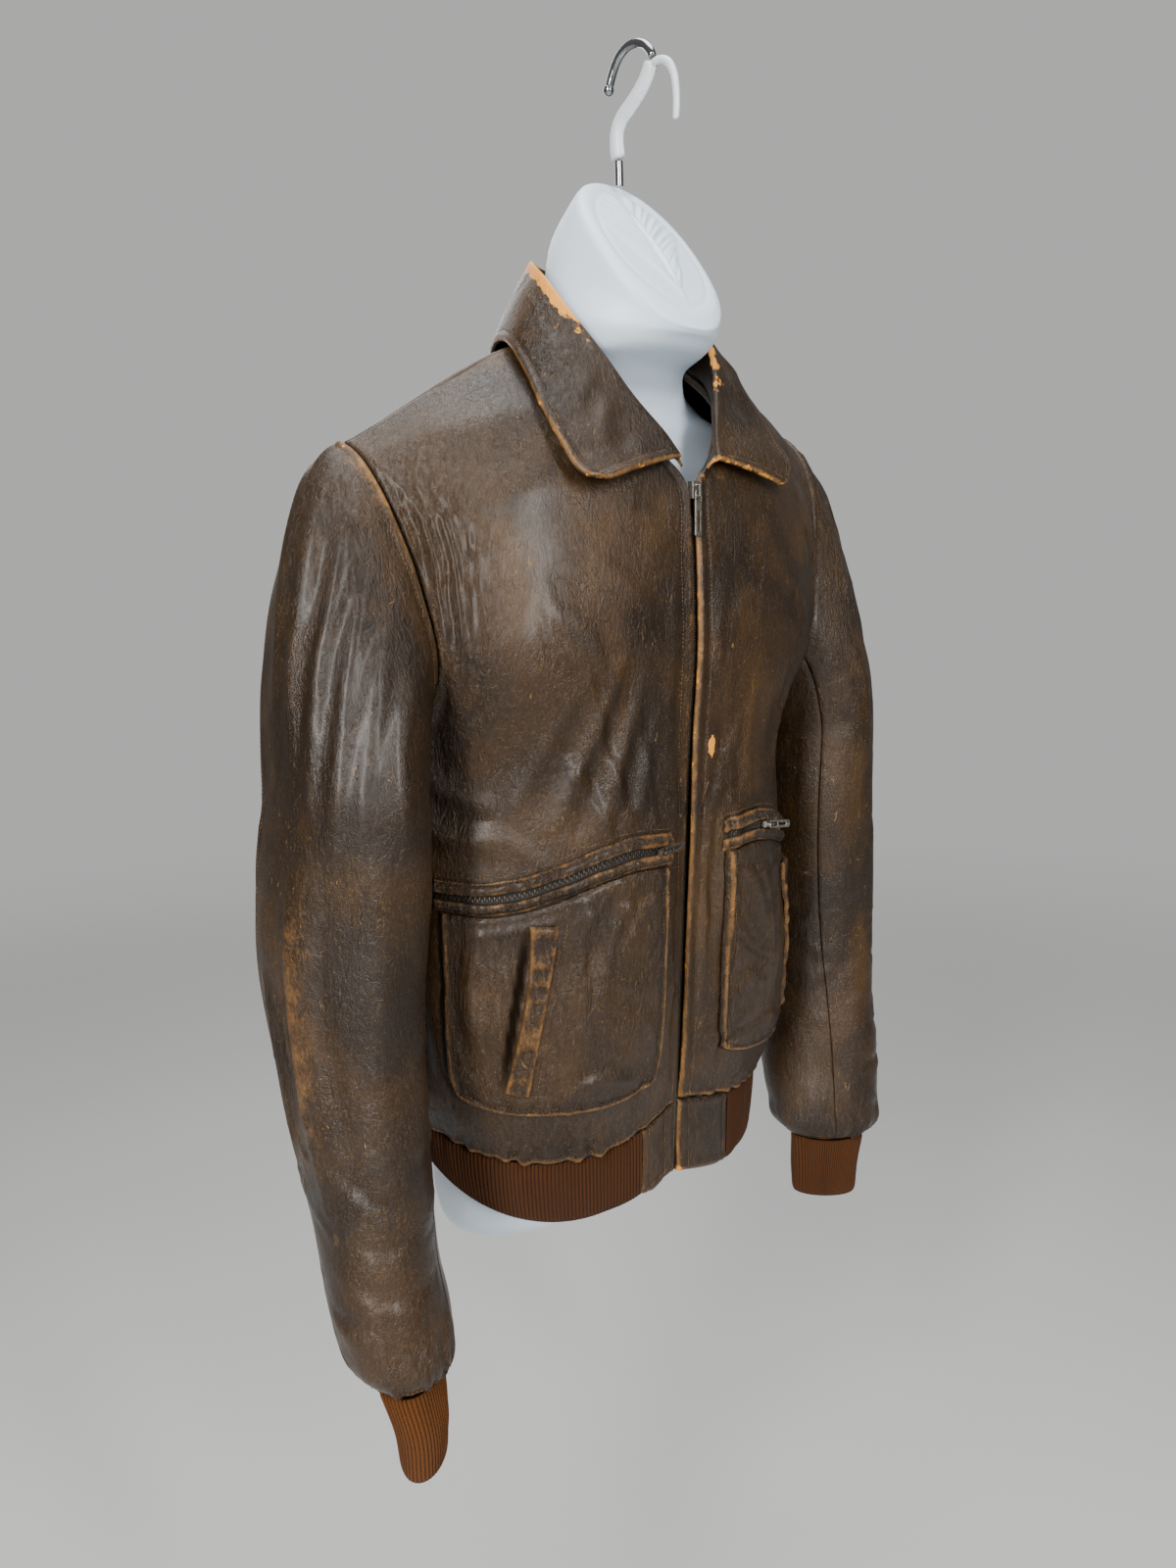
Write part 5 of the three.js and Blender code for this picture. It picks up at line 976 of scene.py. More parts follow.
tj = np.concatenate([np.linspace(0, 34, 10), np.linspace(35.5, 54, 14), np.linspace(57, 96, 14), 112 - np.array([14, 12, 10, 8.6, 7.2, 5.8, 4.4, 3.2, 2.1, 1.1, 0.0])])
row = curve(ki, C, np.zeros(nrow)) if False else np.stack([curve(ki, np.repeat(C[:, j][:, None], len(ti), 1), ti) for j in range(nrow)], 1)
G = np.stack([curve(kj, np.repeat(row[i][:, None], len(tj), 1), tj) for i in range(len(ti))])
def round_corner(G, i0, j0, R):
    """rounds the grid's corner (i0, j0 = 0 or -1) to a radius of about R mm"""
    a = np.concatenate([np.zeros((1, G.shape[1])), np.cumsum(np.linalg.norm(np.diff(G, axis=0), axis=-1), 0)])
    b = np.concatenate([np.zeros((G.shape[0], 1)), np.cumsum(np.linalg.norm(np.diff(G, axis=1), axis=-1), 1)], 1)
    a = a if i0 == 0 else a[-1:] - a
    b = b if j0 == 0 else b[:, -1:] - b
    ea = unit(np.gradient(G, axis=0)) * (1 if i0 == 0 else -1); eb = unit(np.gradient(G, axis=1)) * (1 if j0 == 0 else -1)
    x, y = np.clip(1 - a / R, 0, 1), np.clip(1 - b / R, 0, 1)
    dx, dy = x - x * np.sqrt(1 - y * y / 2), y - y * np.sqrt(1 - x * x / 2)
    return G + ea * (dx * R)[..., None] + eb * (dy * R)[..., None]
for i0 in (0, -1):
    G = round_corner(G, i0, -1, 17.0)
    G = round_corner(G, i0, 0, 7.0)
du = np.gradient(G, axis=0); dv = np.gradient(G, axis=1)
n = unit(np.cross(du, dv))
aw = unit(np.stack([G[..., 0], G[..., 1] + 55, 0 * G[..., 0]], -1))
if (n[:, -12:] * aw[:, -12:]).sum() < 0:
    n = -n
Ig, Jg = np.meshgrid(ti, tj, indexing="ij")
dEdge, dEnds = 112 - Jg, np.minimum(Ig, Lc - Ig)
# true distances near the front corners, where columns fan out
step = np.linalg.norm(np.diff(G, axis=0), axis=-1); acc = np.concatenate([np.zeros((1, len(tj))), np.cumsum(step, 0)])
dFront = np.minimum(acc, acc[-1:] - acc)
rowlen = np.concatenate([np.zeros((len(ti), 1)), np.cumsum(np.linalg.norm(np.diff(G, axis=1), axis=-1), 1)], 1)
dOut = rowlen[:, -1:] - rowlen
leaf = smooth(44, 50, Jg)
kpar = np.interp(Ig, ki, np.arange(ncol))
cre = []
sideway = np.where(Ig < Lc / 2, -1, 1)
Xc, Yc = Ig, Jg
cre += [([(58, 60), (44, 76), (26, 92)], 2.0, 7, 0.5), ([(78, 56), (70, 72), (58, 92)], 1.6, 6, 0.5), ([(100, 58), (104, 76), (98, 98)], 1.4, 7, 0.5), ([(30, 62), (22, 74), (12, 82)], -1.2, 5, 0.4)]
cre += [([(Lc - 60, 60), (Lc - 46, 76), (Lc - 30, 94)], 1.8, 7, 0.5), ([(Lc - 88, 56), (Lc - 78, 74), (Lc - 72, 94)], 1.6, 6, 0.5), ([(Lc - 110, 60), (Lc - 104, 80), (Lc - 112, 98)], 1.4, 7, 0.5)]
cre += [([(Lc / 2 + q, 56), (Lc / 2 + q * 1.1, 76), (Lc / 2 + q * 1.25, 98)], 1.2, 8, 0.4) for q in (-52, -24, 6, 34, 60)]
cre += crinkles(301, 26, 6, Lc - 6, 54, 104, 100, 40, 0.7, (14, 40))
fine = 1.4 * creases(Xc, Yc, cre) * leaf + 0.7 * ripple(G, 61, 60) * smooth(0, 22, dFront)
h = fine + (seam(dOut, 1.3, 1.0, 3.4, 2.4, 8.2, 0.7) + seam(dFront, 1.1, 0.9, 3.2, 2.2, 8.2, 0.6)) * leaf + seam(dFront, 0.8, 0, 4, 3, 60, 0) * (1 - leaf)
A = G + n * h[..., None]
near = Ig < Lc / 2
fold = np.exp(-((Jg - 45) / 7) ** 2)
w = 0.95 * np.exp(-((dOut - 1.2) / 2.4) ** 2); w = np.maximum(w, 0.95 * np.exp(-((dFront - 1) / 2.4) ** 2))
w = w + 0.09 * np.clip(fine, -1, 3) + fold * np.where(near, 0.45 * smooth(3.0, 5.5, kpar), 0.25) + 0.03 * leaf
bare = 0.92 * np.exp(-((Jg - 47) / 8) ** 2) * smooth(2.4, 4.6, kpar) * smooth(8.6, 7.2, kpar)
bare = bare + 0.70 * np.exp(-((Jg - 42) / 9) ** 2) * smooth(11.0, 12.0, kpar) * smooth(16.4, 15.0, kpar) + np.where(~near, 0.45 * fold * smooth(50, 10, Lc - Ig), 0.0)
bare = np.maximum(bare, 0.42 * np.exp(-(dOut / 2.5) ** 2) * leaf); bare = np.maximum(bare, 0.55 * np.exp(-(dFront / 3) ** 2) * np.where(near, 0.7, 1.0))
inside = smooth(44, 36, Jg)
w = w + inside * 0.15
# painted shade along the topstitch groove
dark = inside * 0.0 + 0.5 * np.exp(-((dOut - 7.6) / 0.9) ** 2) * leaf
o = wall("leather_collar", A, A - n * 2.2, attrs=dict(wear=w, bare=bare, crush=0.15 * leaf + 0 * w, dark=dark))
cloth(o, "collar", G, M_LEATHER)
js = np.argmin(np.abs(dOut - 7.6), axis=1)
ii = np.arange(len(ti)); sel = ii[(dFront[ii, js] > 7.0)]
stitches(A[sel, js[sel]], n[sel, js[sel]])
for end in (0, 1):
    pts, nn = [], []
    for j in range(len(tj)):
        if tj[j] < 50 or dOut[0, j] < 7:
            continue
        a = acc[:, j] if end == 0 else acc[-1, j] - acc[:, j]
        i = int(np.argmin(np.abs(a - 7.0))); pts.append(A[i, j]); nn.append(n[i, j])
    if len(pts) > 3:
        stitches(np.array(pts), np.array(nn))
flush_stitches("thread_collar")

# ------------------------------------------------------------------ pockets
S0, S1 = 0.105, 0.80
def zip_v(s):
    return 0.405 - 0.03 * ((s - 0.09) / 0.72) + 0.012 * np.sin((s - 0.09) / 0.72 * 2 * np.pi)
dvm = lambda q: q / 620.0
QUAD = {"tr": (0.468, 0.335), "tl": (0.552, 0.338), "bl": (0.622, 0.105), "br": (0.545, 0.100)}   # inner/outer corners of the hand entry

def pocket_sv(u, w):
    top = zip_v(lerp(S0, S1, u)) - dvm(14)
    low = 0.070 + 0.020 * np.abs(2 * (u - 0.5)) ** 4
    inset = 0.020 * np.exp(-(w * 300 / 26) ** 2)
    s = lerp(S0 + 0.003 + inset, S1 - 0.012 - inset, u)
    return s, lerp(low, top, w)

def pocket_h(side, s, v, u, w):
    """the patch's own relief above the front"""
    X, Y = s * W_PANEL, v * H_PANEL
    q = lambda *p: [(a * W_PANEL, b * H_PANEL) for a, b in p]
    rows = [
        (q((0.11, 0.345), (0.20, 0.275), (0.27, 0.235)), -1.1, 2.2, 0.6), (q((0.10, 0.29), (0.24, 0.235), (0.38, 0.20)), -1.0, 2.0, 0.6),
        (q((0.16, 0.365), (0.24, 0.33), (0.30, 0.27)), 1.8, 6, 0.5), (q((0.24, 0.37), (0.33, 0.30), (0.36, 0.20)), 2.2, 7, 0.5),
        (q((0.40, 0.36), (0.41, 0.26), (0.37, 0.14)), 1.6, 7, 0.5), (q((0.66, 0.36), (0.70, 0.24), (0.66, 0.12)), 2.0, 8, 0.5),
        (q((0.74, 0.34), (0.76, 0.24), (0.72, 0.12)), -1.4, 6, 0.5), (q((0.20, 0.10), (0.34, 0.12), (0.48, 0.09)), 1.6, 6, 0.5),
        (q((0.14, 0.14), (0.22, 0.20), (0.30, 0.17)), 1.2, 6, 0.4), (q((0.12, 0.355), (0.20, 0.345), (0.34, 0.352)), 1.3, 3.6, 0.6),
        (q((0.44, 0.345), (0.60, 0.33), (0.74, 0.32)), 1.0, 4, 0.6),
    ]
    rows += crinkles(201, 26, S0 * W_PANEL, S1 * W_PANEL, 50, 240, 80, 50, 0.9, (14, 46))
    rows += gathers(203, S0 * W_PANEL, S1 * W_PANEL, 50, 24, 15, 1.5, 4.2)
    h = creases(X, Y, rows) * 1.35
    # slack of the patch: it bellies towards its foot
    belly = np.sin(np.pi * np.clip(u, 0, 1)) ** 0.7 * np.sin(np.pi * np.clip(w, 0, 1) ** 0.75) ** 0.9
    return h * smooth(0, 0.08, np.minimum(u, 1 - u)) + 2.2 * belly

def line_d(s, v, a, b, ks=250.0, kv=620.0):
    """distance in mm to the segment a-b, and place along it"""
    ax, ay, bx, by = a[0] * ks, a[1] * kv, b[0] * ks, b[1] * kv
    L = math.hypot(bx - ax, by - ay); dx, dy = (bx - ax) / L, (by - ay) / L
    px, py = s * ks - ax, v * kv - ay
    t = px * dx + py * dy
    return px * dy - py * dx, t / L

for side in (-1, 1):
    nm = BODY[side]
    u = cluster(172, 2.6); w = cluster(205, 2.6)
    Ug, Wg = np.meshgrid(u, w, indexing="ij")
    s, v = pocket_sv(Ug, Wg)
    Q, n, fine, ks, kv = front_skin(side, s, v, edges=False)
    dE = np.minimum(np.minimum(Ug, 1 - Ug) * 172, Wg * 205); dT = (1 - Wg) * 205
    own = pocket_h(side, s, v, Ug, Wg) * smooth(0, 16, dE)
    # hand entry: a slit beside the welt, with the leather dented along it
    d, t = line_d(s, v, QUAD["bl"], QUAD["tl"])
    on = smooth(-0.02, 0.05, t) * smooth(1.02, 0.95, t)
    slit = np.exp(-((d + 0.5) / 3.4) ** 4) * on * np.sin(np.pi * np.clip(t, 0.02, 0.98)) ** 0.5
    d2, t2 = line_d(s, v, QUAD["br"], QUAD["tr"])
    rimw = (np.exp(-((d + 5.5) / 2.4) ** 2) + np.exp(-((d2 - 5.5) / 2.4) ** 2)) * on
    h = 4.0 + own - 2.6 * np.exp(-(dE / 1.6) ** 2) + 0.8 * np.exp(-((dE - 4) / 2.4) ** 2) - 0.6 * np.exp(-((dE - 8) / 1.4) ** 2) - 1.6 * np.exp(-(dT / 2) ** 2) - 2.6 * slit + 0.7 * rimw
    h = h + 0.5 * ripple(Q, 81 + side, 45)
    A = Q + n * h[..., None]; B = Q + n * (h[..., None] - 2.0)
    # no lower than just off the front at the rim
    B = Q + n * np.maximum(h - 2.0, 0.9)[..., None]; A = Q + n * np.maximum(h, 2.0)[..., None]
    wr = 1.05 * np.exp(-((dE - 4.0) / 2.3) ** 2); wr = np.maximum(wr, 0.35 * np.exp(-(dT / 4) ** 2))
    wr = wr + 0.07 * np.clip(own - 2 + fine, -1.2, 3) + 0.35 * rimw
    wr = wr + 0.25 * np.exp(-((Ug - 0.12) / 0.08) ** 2) * bump(Wg, 0.4, 0.35)
    # painted shade in the hand slit, round the patch rim and along its stitch groove
    painted_shade = np.clip(1.5 * slit - 0.1, 0, 1) + 0.65 * np.exp(-(dE / 0.9) ** 2) + 0.45 * np.exp(-((dE - 8) / 1.0) ** 2)
    o = wall(f"leather_pocket_{nm}", A, B, attrs=dict(wear=wr, bare=0.36 * np.exp(-((dE - 4.0) / 1.6) ** 2), crush=np.clip(0.15 + 0.5 * np.exp(-(dE / 14) ** 2), 0, 1), dark=np.clip(painted_shade, 0, 1)))
    cloth(o, f"pocket_{nm}", A, M_LEATHER)
    for ed in (2.6, 8.2):
        uu = np.concatenate([np.full(90, ed / 172), np.linspace(ed / 172, 1 - ed / 172, 70), np.full(90, 1 - ed / 172)])
        ww = np.concatenate([np.linspace(0.985, ed / 205, 90), np.full(70, ed / 205), np.linspace(ed / 205, 0.985, 90)])
        s, v = pocket_sv(uu, ww); Q, n, *_ = front_skin(side, s, v, edges=False)
        hh = 4.0 + pocket_h(side, s, v, uu, ww) * smooth(0, 16, ed) + (0.1 if ed < 5 else -0.55)
        stitches(Q + n * hh[:, None], n)
    # hand-warmer welt
    us = cluster(14.5, 2.0, False, False); us = np.linspace(0, 1, 17); ws = np.linspace(0, 1, 70)
    Ug, Wg = np.meshgrid(us, ws, indexing="ij")
    bot = np.array([lerp(QUAD["br"][0], QUAD["bl"][0], 0), QUAD["br"][1]])
    sa = lerp(QUAD["br"][0], QUAD["tr"][0], Wg); va = lerp(QUAD["br"][1], QUAD["tr"][1], Wg)
    sb = lerp(QUAD["bl"][0], QUAD["tl"][0], Wg); vb = lerp(QUAD["bl"][1], QUAD["tl"][1], Wg)
    share = 0.96 - 0.24 * np.sin(np.pi * Wg) ** 0.6
    s = lerp(sa, sb, Ug * share); v = lerp(va, vb, Ug * share)
    Q, n, fine, ks, kv = front_skin(side, s, v, edges=False)
    own = pocket_h(side, s, v, (s - S0) / (S1 - S0), (v - 0.07) / (0.335 - 0.0))
    dome = np.sqrt(np.clip(1 - (2 * Ug - 1) ** 6, 0, 1)) * np.sqrt(np.clip(1 - (2 * Wg - 1) ** 24, 0, 1))
    puff = 0.7 * np.sin(Wg * 37 + 2.4 * np.sin(Wg * 9) + 2 * Ug) * np.sin(np.pi * Ug) ** 0.6 + 0.6 * ripple(Q, 91, 14)
    base = 4.0 + own
    A = Q + n * (base + 0.5 + 3.3 * dome + puff * 0.8)[..., None]; B = Q + n * (base + 0.35)[..., None]
    edge = np.minimum(Ug, 1 - Ug) * 15
    # dark is painted shade along the edge by the slit
    o = wall(f"leather_handwarmer_{nm}", A, B, attrs=dict(wear=0.40 + 0.42 * np.exp(-((edge - 1.0) / 1.6) ** 2) + 0.26 * puff, bare=0 * Ug, crush=0 * Ug + 0.5, dark=0.35 * np.exp(-((1 - Ug) * 15 / 1.2) ** 2)))
    cloth(o, f"handwarmer_welt_{nm}", A, M_WELT)
    k = 60
    tt = np.linspace(-0.02, 1.02, k)
    for (p0, p1), off in (((QUAD["br"], QUAD["tr"]), -0.018), ((QUAD["bl"], QUAD["tl"]), 0.026)):
        s = lerp(p0[0], p1[0], tt) + off; v = lerp(p0[1], p1[1], tt)
        Q, n, *_ = front_skin(side, s, v, edges=False)
        hh = 4.0 + pocket_h(side, s, v, (s - S0) / (S1 - S0), np.clip((v - 0.07) / 0.31, 0, 1)) + 0.5
        stitches(Q + n * hh[:, None], n, 3.0)
    # two piped welts with the zip between them
    for pos, a, b in (("upper", 2.9, 12.4), ("lower", -12.4, -2.9)):
        us = cluster(182, 2.4); ws = np.linspace(0, 1, 13)
        Ug, Wg = np.meshgrid(us, ws, indexing="ij")
        s = lerp(S0 - 0.006, S1 + 0.004, Ug)
        wob = 0.9 * np.sin(Ug * 11 + (0 if pos == "upper" else 1.7)) * np.sin(np.pi * Ug) + 0.5 * np.sin(Ug * 37)
        gape = 0.9 * np.sin(np.pi * Ug) ** 2 * (1 if pos == "upper" else -1)
        v = zip_v(s) + dvm(lerp(a, b, Wg) + wob * 0.6 + gape)
        Q, n, fine, ks, kv = front_skin(side, s, v, edges=False)
        out = Wg if pos == "upper" else 1 - Wg
        dome = np.clip(1 - np.abs(2 * out - 0.62) ** 2.2, 0, 1) ** 0.5
        ends = np.sqrt(np.clip(1 - (2 * Ug - 1) ** 60, 0, 1))
        puff = 0.35 * np.sin(Ug * 95 + 3 * np.sin(Ug * 21))
        A = Q + n * (1.9 + (3.5 * dome + 1.3 * puff * dome) * ends)[..., None]; B = Q + n * np.full(Ug.shape, 1.15)[..., None]
        lip = np.exp(-((out - 0.1) / 0.25) ** 2)
        # dark is painted shade along the welt's outer edge, where it meets the front
        o = wall(f"leather_welt_{pos}_{nm}", A, B, attrs=dict(wear=0.10 + 0.42 * lip + 0.55 * np.exp(-((1 - out) * 9 - 1.2) ** 2) + 0.45 * puff + 0.30 * smooth(0.35, 0.0, Ug), bare=0.25 * lip * smooth(0.5, 0.0, Ug) + 0.1 * lip, crush=0 * Ug + 0.6, dark=0.3 * np.exp(-((1 - out) * 9 / 0.9) ** 2)))
        cloth(o, f"pocket_welt_{pos}_{nm}", A, M_WELT)
        # one stitched row just outside
        uu = np.linspace(0.0, 1.0, 120); s = lerp(S0 - 0.006, S1 + 0.004, uu)
        v = zip_v(s) + dvm((b if pos == "upper" else a) + (3.0 if pos == "upper" else 1.8) * (1 if pos == "upper" else -1) * 0 + (2.6 if pos == "upper" else 1.4) + (1.6 if pos == "upper" else -1.6) * np.sin(np.pi * uu) ** 2)
        if pos == "upper":
            Q, n, *_ = front_skin(side, s, v, edges=False); stitches(Q + n * 0.15, n, 3.1)
    # zip tape and teeth
    us = np.linspace(0, 1, 90); ws = np.linspace(0, 1, 7)
    Ug, Wg = np.meshgrid(us, ws, indexing="ij")
    s = lerp(S0, S1, Ug); v = zip_v(s) + dvm(lerp(-6.2, 6.2, Wg))
    Q, n, *_ = front_skin(side, s, v, edges=False)
    o = wall(f"zip_tape_pocket_{nm}", Q + n * 1.0, Q + n * 0.35, attrs={})
    o.data.materials.append(M_TAPE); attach(o, ROOT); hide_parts(f"pocket_zip_{nm}")
    du, dv, ar = size_of(Q)
    L = 182.0; k = int(L / 1.7); vs, fs, off = [], [], 0
    for i in range(k):
        uu = (i + 0.5) / k; s = np.array([lerp(S0, S1, uu)]); row = 1 if i % 2 else -1
        v = zip_v(s) + dvm(row * 0.9)
        Q, n, *_ = front_skin(side, s, v, edges=False); Q2, *_ = front_skin(side, s + 0.004, zip_v(s + 0.004) + dvm(row * 0.9), edges=False)
        d = unit(Q2 - Q)[0]; nn = n[0]; c = np.cross(nn, d)
        for sx, sy, sz in ((-1, -1, 0), (1, -1, 0), (1, 1, 0), (-1, 1, 0), (-1, -1, 1), (1, -1, 1), (1, 1, 1), (-1, 1, 1)):
            q = 0.78 if sz else 1.0
            vs.append(Q[0] + d * sx * 0.55 * q + c * sy * 1.5 * q + nn * (1.05 + sz * 1.15))
        fs += [[off + q for q in f] for f in ((3, 2, 1, 0), (4, 5, 6, 7), (0, 1, 5, 4), (1, 2, 6, 5), (2, 3, 7, 6), (3, 0, 4, 7))]; off += 8
    o = to_object(f"zip_teeth_pocket_{nm}", np.array(vs), fs, smooth_shade=False)
    o.data.materials.append(M_TEETH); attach(o, ROOT)
    flush_stitches(f"thread_pocket_{nm}")

# ------------------------------------------------------------------ front zip
ZK = [-570, -345, -195, -130, -62, -6]; ZV = [-103.5, -114, -121, -126, -125, -122]
def zip_y(z):
    z = np.clip(np.atleast_1d(np.asarray(z, float)), -570, -6)
    return curve(ZK, np.repeat(np.array(ZV, float)[:, None, None], len(z), 1), z)[:, 0]
for sd in (-1, 1):
    zz = np.linspace(-571, -11, 150); xx = np.linspace(1.3, 16.0, 8)
    Xg, Zg = np.meshgrid(xx, zz, indexing="ij")
    y = zip_y(Zg.ravel()).reshape(Zg.shape)
    A = np.stack([sd * Xg, y + 6.75, Zg], -1); B = A + [0, 0.9, 0]
    o = wall(f"zip_tape_{BODY[sd]}_woven", A, B)
    o.data.materials.append(M_TAPE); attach(o, ROOT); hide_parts(f"zip_tape_{BODY[sd]}")
    du, dv, ar = size_of(A)
vs, fs, off = [], [], 0
zz = np.arange(-569, -27, 1.05); yy = zip_y(zz)
for i, (z, y) in enumerate(zip(zz, yy)):
    sd = 1 if i % 2 else -1
    x0, x1 = sd * 3.1, sd * -0.5
    for zz_, q in ((-0.62, 1.0), (0.62, 1.0)):
        for (x, yy_) in ((x0, 5.8), (x0, 3.6), (x1, 3.2), (x1, 5.4)):
            vs.append([x, y + yy_, z + zz_ * (0.8 if x == x1 else 1.0)])
    fs += [[off + q for q in f] for f in ((3, 2, 1, 0), (4, 5, 6, 7), (0, 1, 5, 4), (1, 2, 6, 5), (2, 3, 7, 6), (3, 0, 4, 7))]; off += 8
o = to_object("zip_teeth_main", np.array(vs), fs, smooth_shade=False)
me = o.data; import bmesh
bm = bmesh.new(); bm.from_mesh(me); bmesh.ops.recalc_face_normals(bm, faces=bm.faces); bm.to_mesh(me); bm.free()
o.data.materials.append(M_TEETH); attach(o, ROOT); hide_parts("zip_teeth")

def softened(node, body, mat, width=0.00022, seg=2):
    """the CAD piece with its edges rounded over"""
    src = bpy.data.objects[node] if node in bpy.data.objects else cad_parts[node]
    o = bpy.data.objects.new(node + "_finished", src.data.copy())
    bpy.context.scene.collection.objects.link(o)
    bm = bmesh.new(); bm.from_mesh(o.data)
    bmesh.ops.remove_doubles(bm, verts=bm.verts, dist=1e-7)
    bmesh.ops.dissolve_limit(bm, angle_limit=math.radians(3), verts=bm.verts, edges=bm.edges)
    bm.to_mesh(o.data); bm.free()
    m = o.modifiers.new("round", "BEVEL"); m.width = width; m.segments = seg; m.limit_method = "ANGLE"; m.angle_limit = math.radians(35)
    o.data.materials.clear(); o.data.materials.append(mat)
    o.data.polygons.foreach_set("use_smooth", [False] * len(o.data.polygons))
    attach(o, body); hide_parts(node)
    return o
softened("zip_slider", ROOT, M_METAL, 0.0005, 3)
softened("zip_pull", "front_pull", M_METAL, 0.00028, 3)
for nm in ("right", "left"):
    softened(f"pocket_slider_{nm}", ROOT, M_METAL if nm == "left" else M_TEETH, 0.0004, 3)
    softened(f"pocket_pull_{nm}", f"{nm}_pocket_pull", M_METAL if nm == "left" else M_TEETH, 0.00025, 3)

# ------------------------------------------------------------------ torso form
FORM = [
    [-2, -618, 108, 44, 44, -15], [-2, -614, 132, 62, 64, -14], [-3, -599, 152, 74, 78, -12], [-4, -572, 162, 80, 84, -8],
    [-5, -520, 163, 82, 86, -2], [-4, -440, 156, 86, 92, 0], [-4, -360, 148, 90, 92, 0], [-4, -260, 158, 95, 94, 0],
    [-4, -160, 174, 99, 96, 0], [-3, -90, 184, 100, 94, 0], [-1, -40, 192, 92, 84, 0], [2, 0, 192, 80, 72, 0],
    [2, 22, 182, 74, 62, 0], [0, 42, 160, 70, 52, 0], [-6, 60, 116, 58, 42, 0], [-18, 76, 82, 52, 40, 0],
    [-32, 88, 64, 54, 42, 0], [-46, 98, 57, 60, 50, 5], [-56, 118, 58, 66, 66, 15], [-59, 134.5, 57.5, 72.2, 72.2, 25.9],
    [-63, 148, 57.5, 76.5, 76.5, 34], [-72, 158.5, 57.5, 75.5, 75.5, 43.3], [-79.5, 166.5, 55.8, 73, 73, 50.9],
    [-81, 169, 50, 66, 66, 51],
]
F = np.array(FORM, float); NR = len(F)
for _z, _d in ((88, 2.0), (98, 5.5), (118, 6.5), (134.5, 4.0), (148, 1.5)):
    F[np.abs(F[:, 1] - _z).argmin(), 2] += _d
kk = np.concatenate([[0], np.cumsum(np.hypot(np.diff(F[:, 1]), np.diff(F[:, 2])) + 4)])
tt = np.concatenate([np.linspace(kk[i], kk[i + 1], max(3, int((kk[i + 1] - kk[i]) / 6)) + 1)[:-1] for i in range(NR - 1)] + [[kk[-1]]])
R = curve(kk, np.repeat(F[:, None, :], len(tt), 1), tt)
NA = 144
th = 2 * np.pi * np.arange(NA) / NA
c, s = np.cos(th), np.sin(th); e = 2 / 2.25
X = R[:, 2:3] * (np.sign(c) * np.abs(c) ** e)
Yr = np.where(s < 0, R[:, 3:4], R[:, 4:5]) * (np.sign(s) * np.abs(s) ** e)
tl = np.radians(R[:, 5:6])
P = np.stack([X, R[:, 0:1] + Yr * np.cos(tl), R[:, 1:2] + Yr * np.sin(tl)], -1)
# cap: concentric rings with a shallow crown and a feathered leaf relief
rings = np.linspace(1, 0, 46)[1:-1]
cen = np.array([0, -81.5, 170.4]); last = P[-1]
nc_ = unit(np.array([0.0, -math.sin(math.radians(51)), math.cos(math.radians(51))]))
ax, ay = np.array([1.0, 0, 0]), np.array([0, math.cos(math.radians(51)), math.sin(math.radians(51))])
capr = []
def relief(x, y):
    """curved plumes spreading from a stem; x across, y up the cap, in mm"""
    h = np.zeros_like(x)
    r = np.random.default_rng(4)
    for k in range(26):
        sgn = 1 if k % 2 else -1
        y0 = -46 + k * 3.4
        L = 40 * (1 - abs((k - 12) / 19.0))
        t = np.linspace(0, 1, 9)
        px = sgn * (2 + L * t) + r.uniform(-2, 2); py = y0 + 26 * t ** 0.8 + sgn * 3 * t
        h = np.maximum(h, creases(x, y, [(np.stack([px, py], 1), 1.25, 2.1)]))
    h = np.maximum(h, creases(x, y, [([(0, -56), (3, -10), (-2, 50)], 1.5, 2.2)]))
    return h
for q in rings:
    p = cen + (last - cen) * q
    d = p - cen; x, y = d @ ax, d @ ay
    rad = np.hypot(x / 50, y / 66)
    hh = 0.8 * (1 - rad ** 2) + 1.5 * relief(x, y) * smooth(0.96, 0.80, rad) - 1.2 * np.exp(-((rad - 0.90) / 0.04) ** 2) * 0.5
    capr.append(p + nc_ * hh[:, None])
rowsP = np.concatenate([P, np.array(capr)])
nr = len(rowsP); Vv = rowsP.reshape(-1, 3)
bot = len(Vv); Vv = np.concatenate([Vv, [[0, -2, -619.0]], [cen + nc_ * 0.8]])
fs = []
for j in range(nr - 1):
    for i in range(NA):
        a, b = j * NA + i, j * NA + (i + 1) % NA
        fs.append([a, b, b + NA, a + NA])
for i in range(NA):
    fs.append([bot, (i + 1) % NA, i]); fs.append([bot + 1, (nr - 1) * NA + i, (nr - 1) * NA + (i + 1) % NA])
o = to_object("form_shell", Vv, fs)
o.data.materials.append(M_FORM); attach(o, ROOT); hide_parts("torso_form")

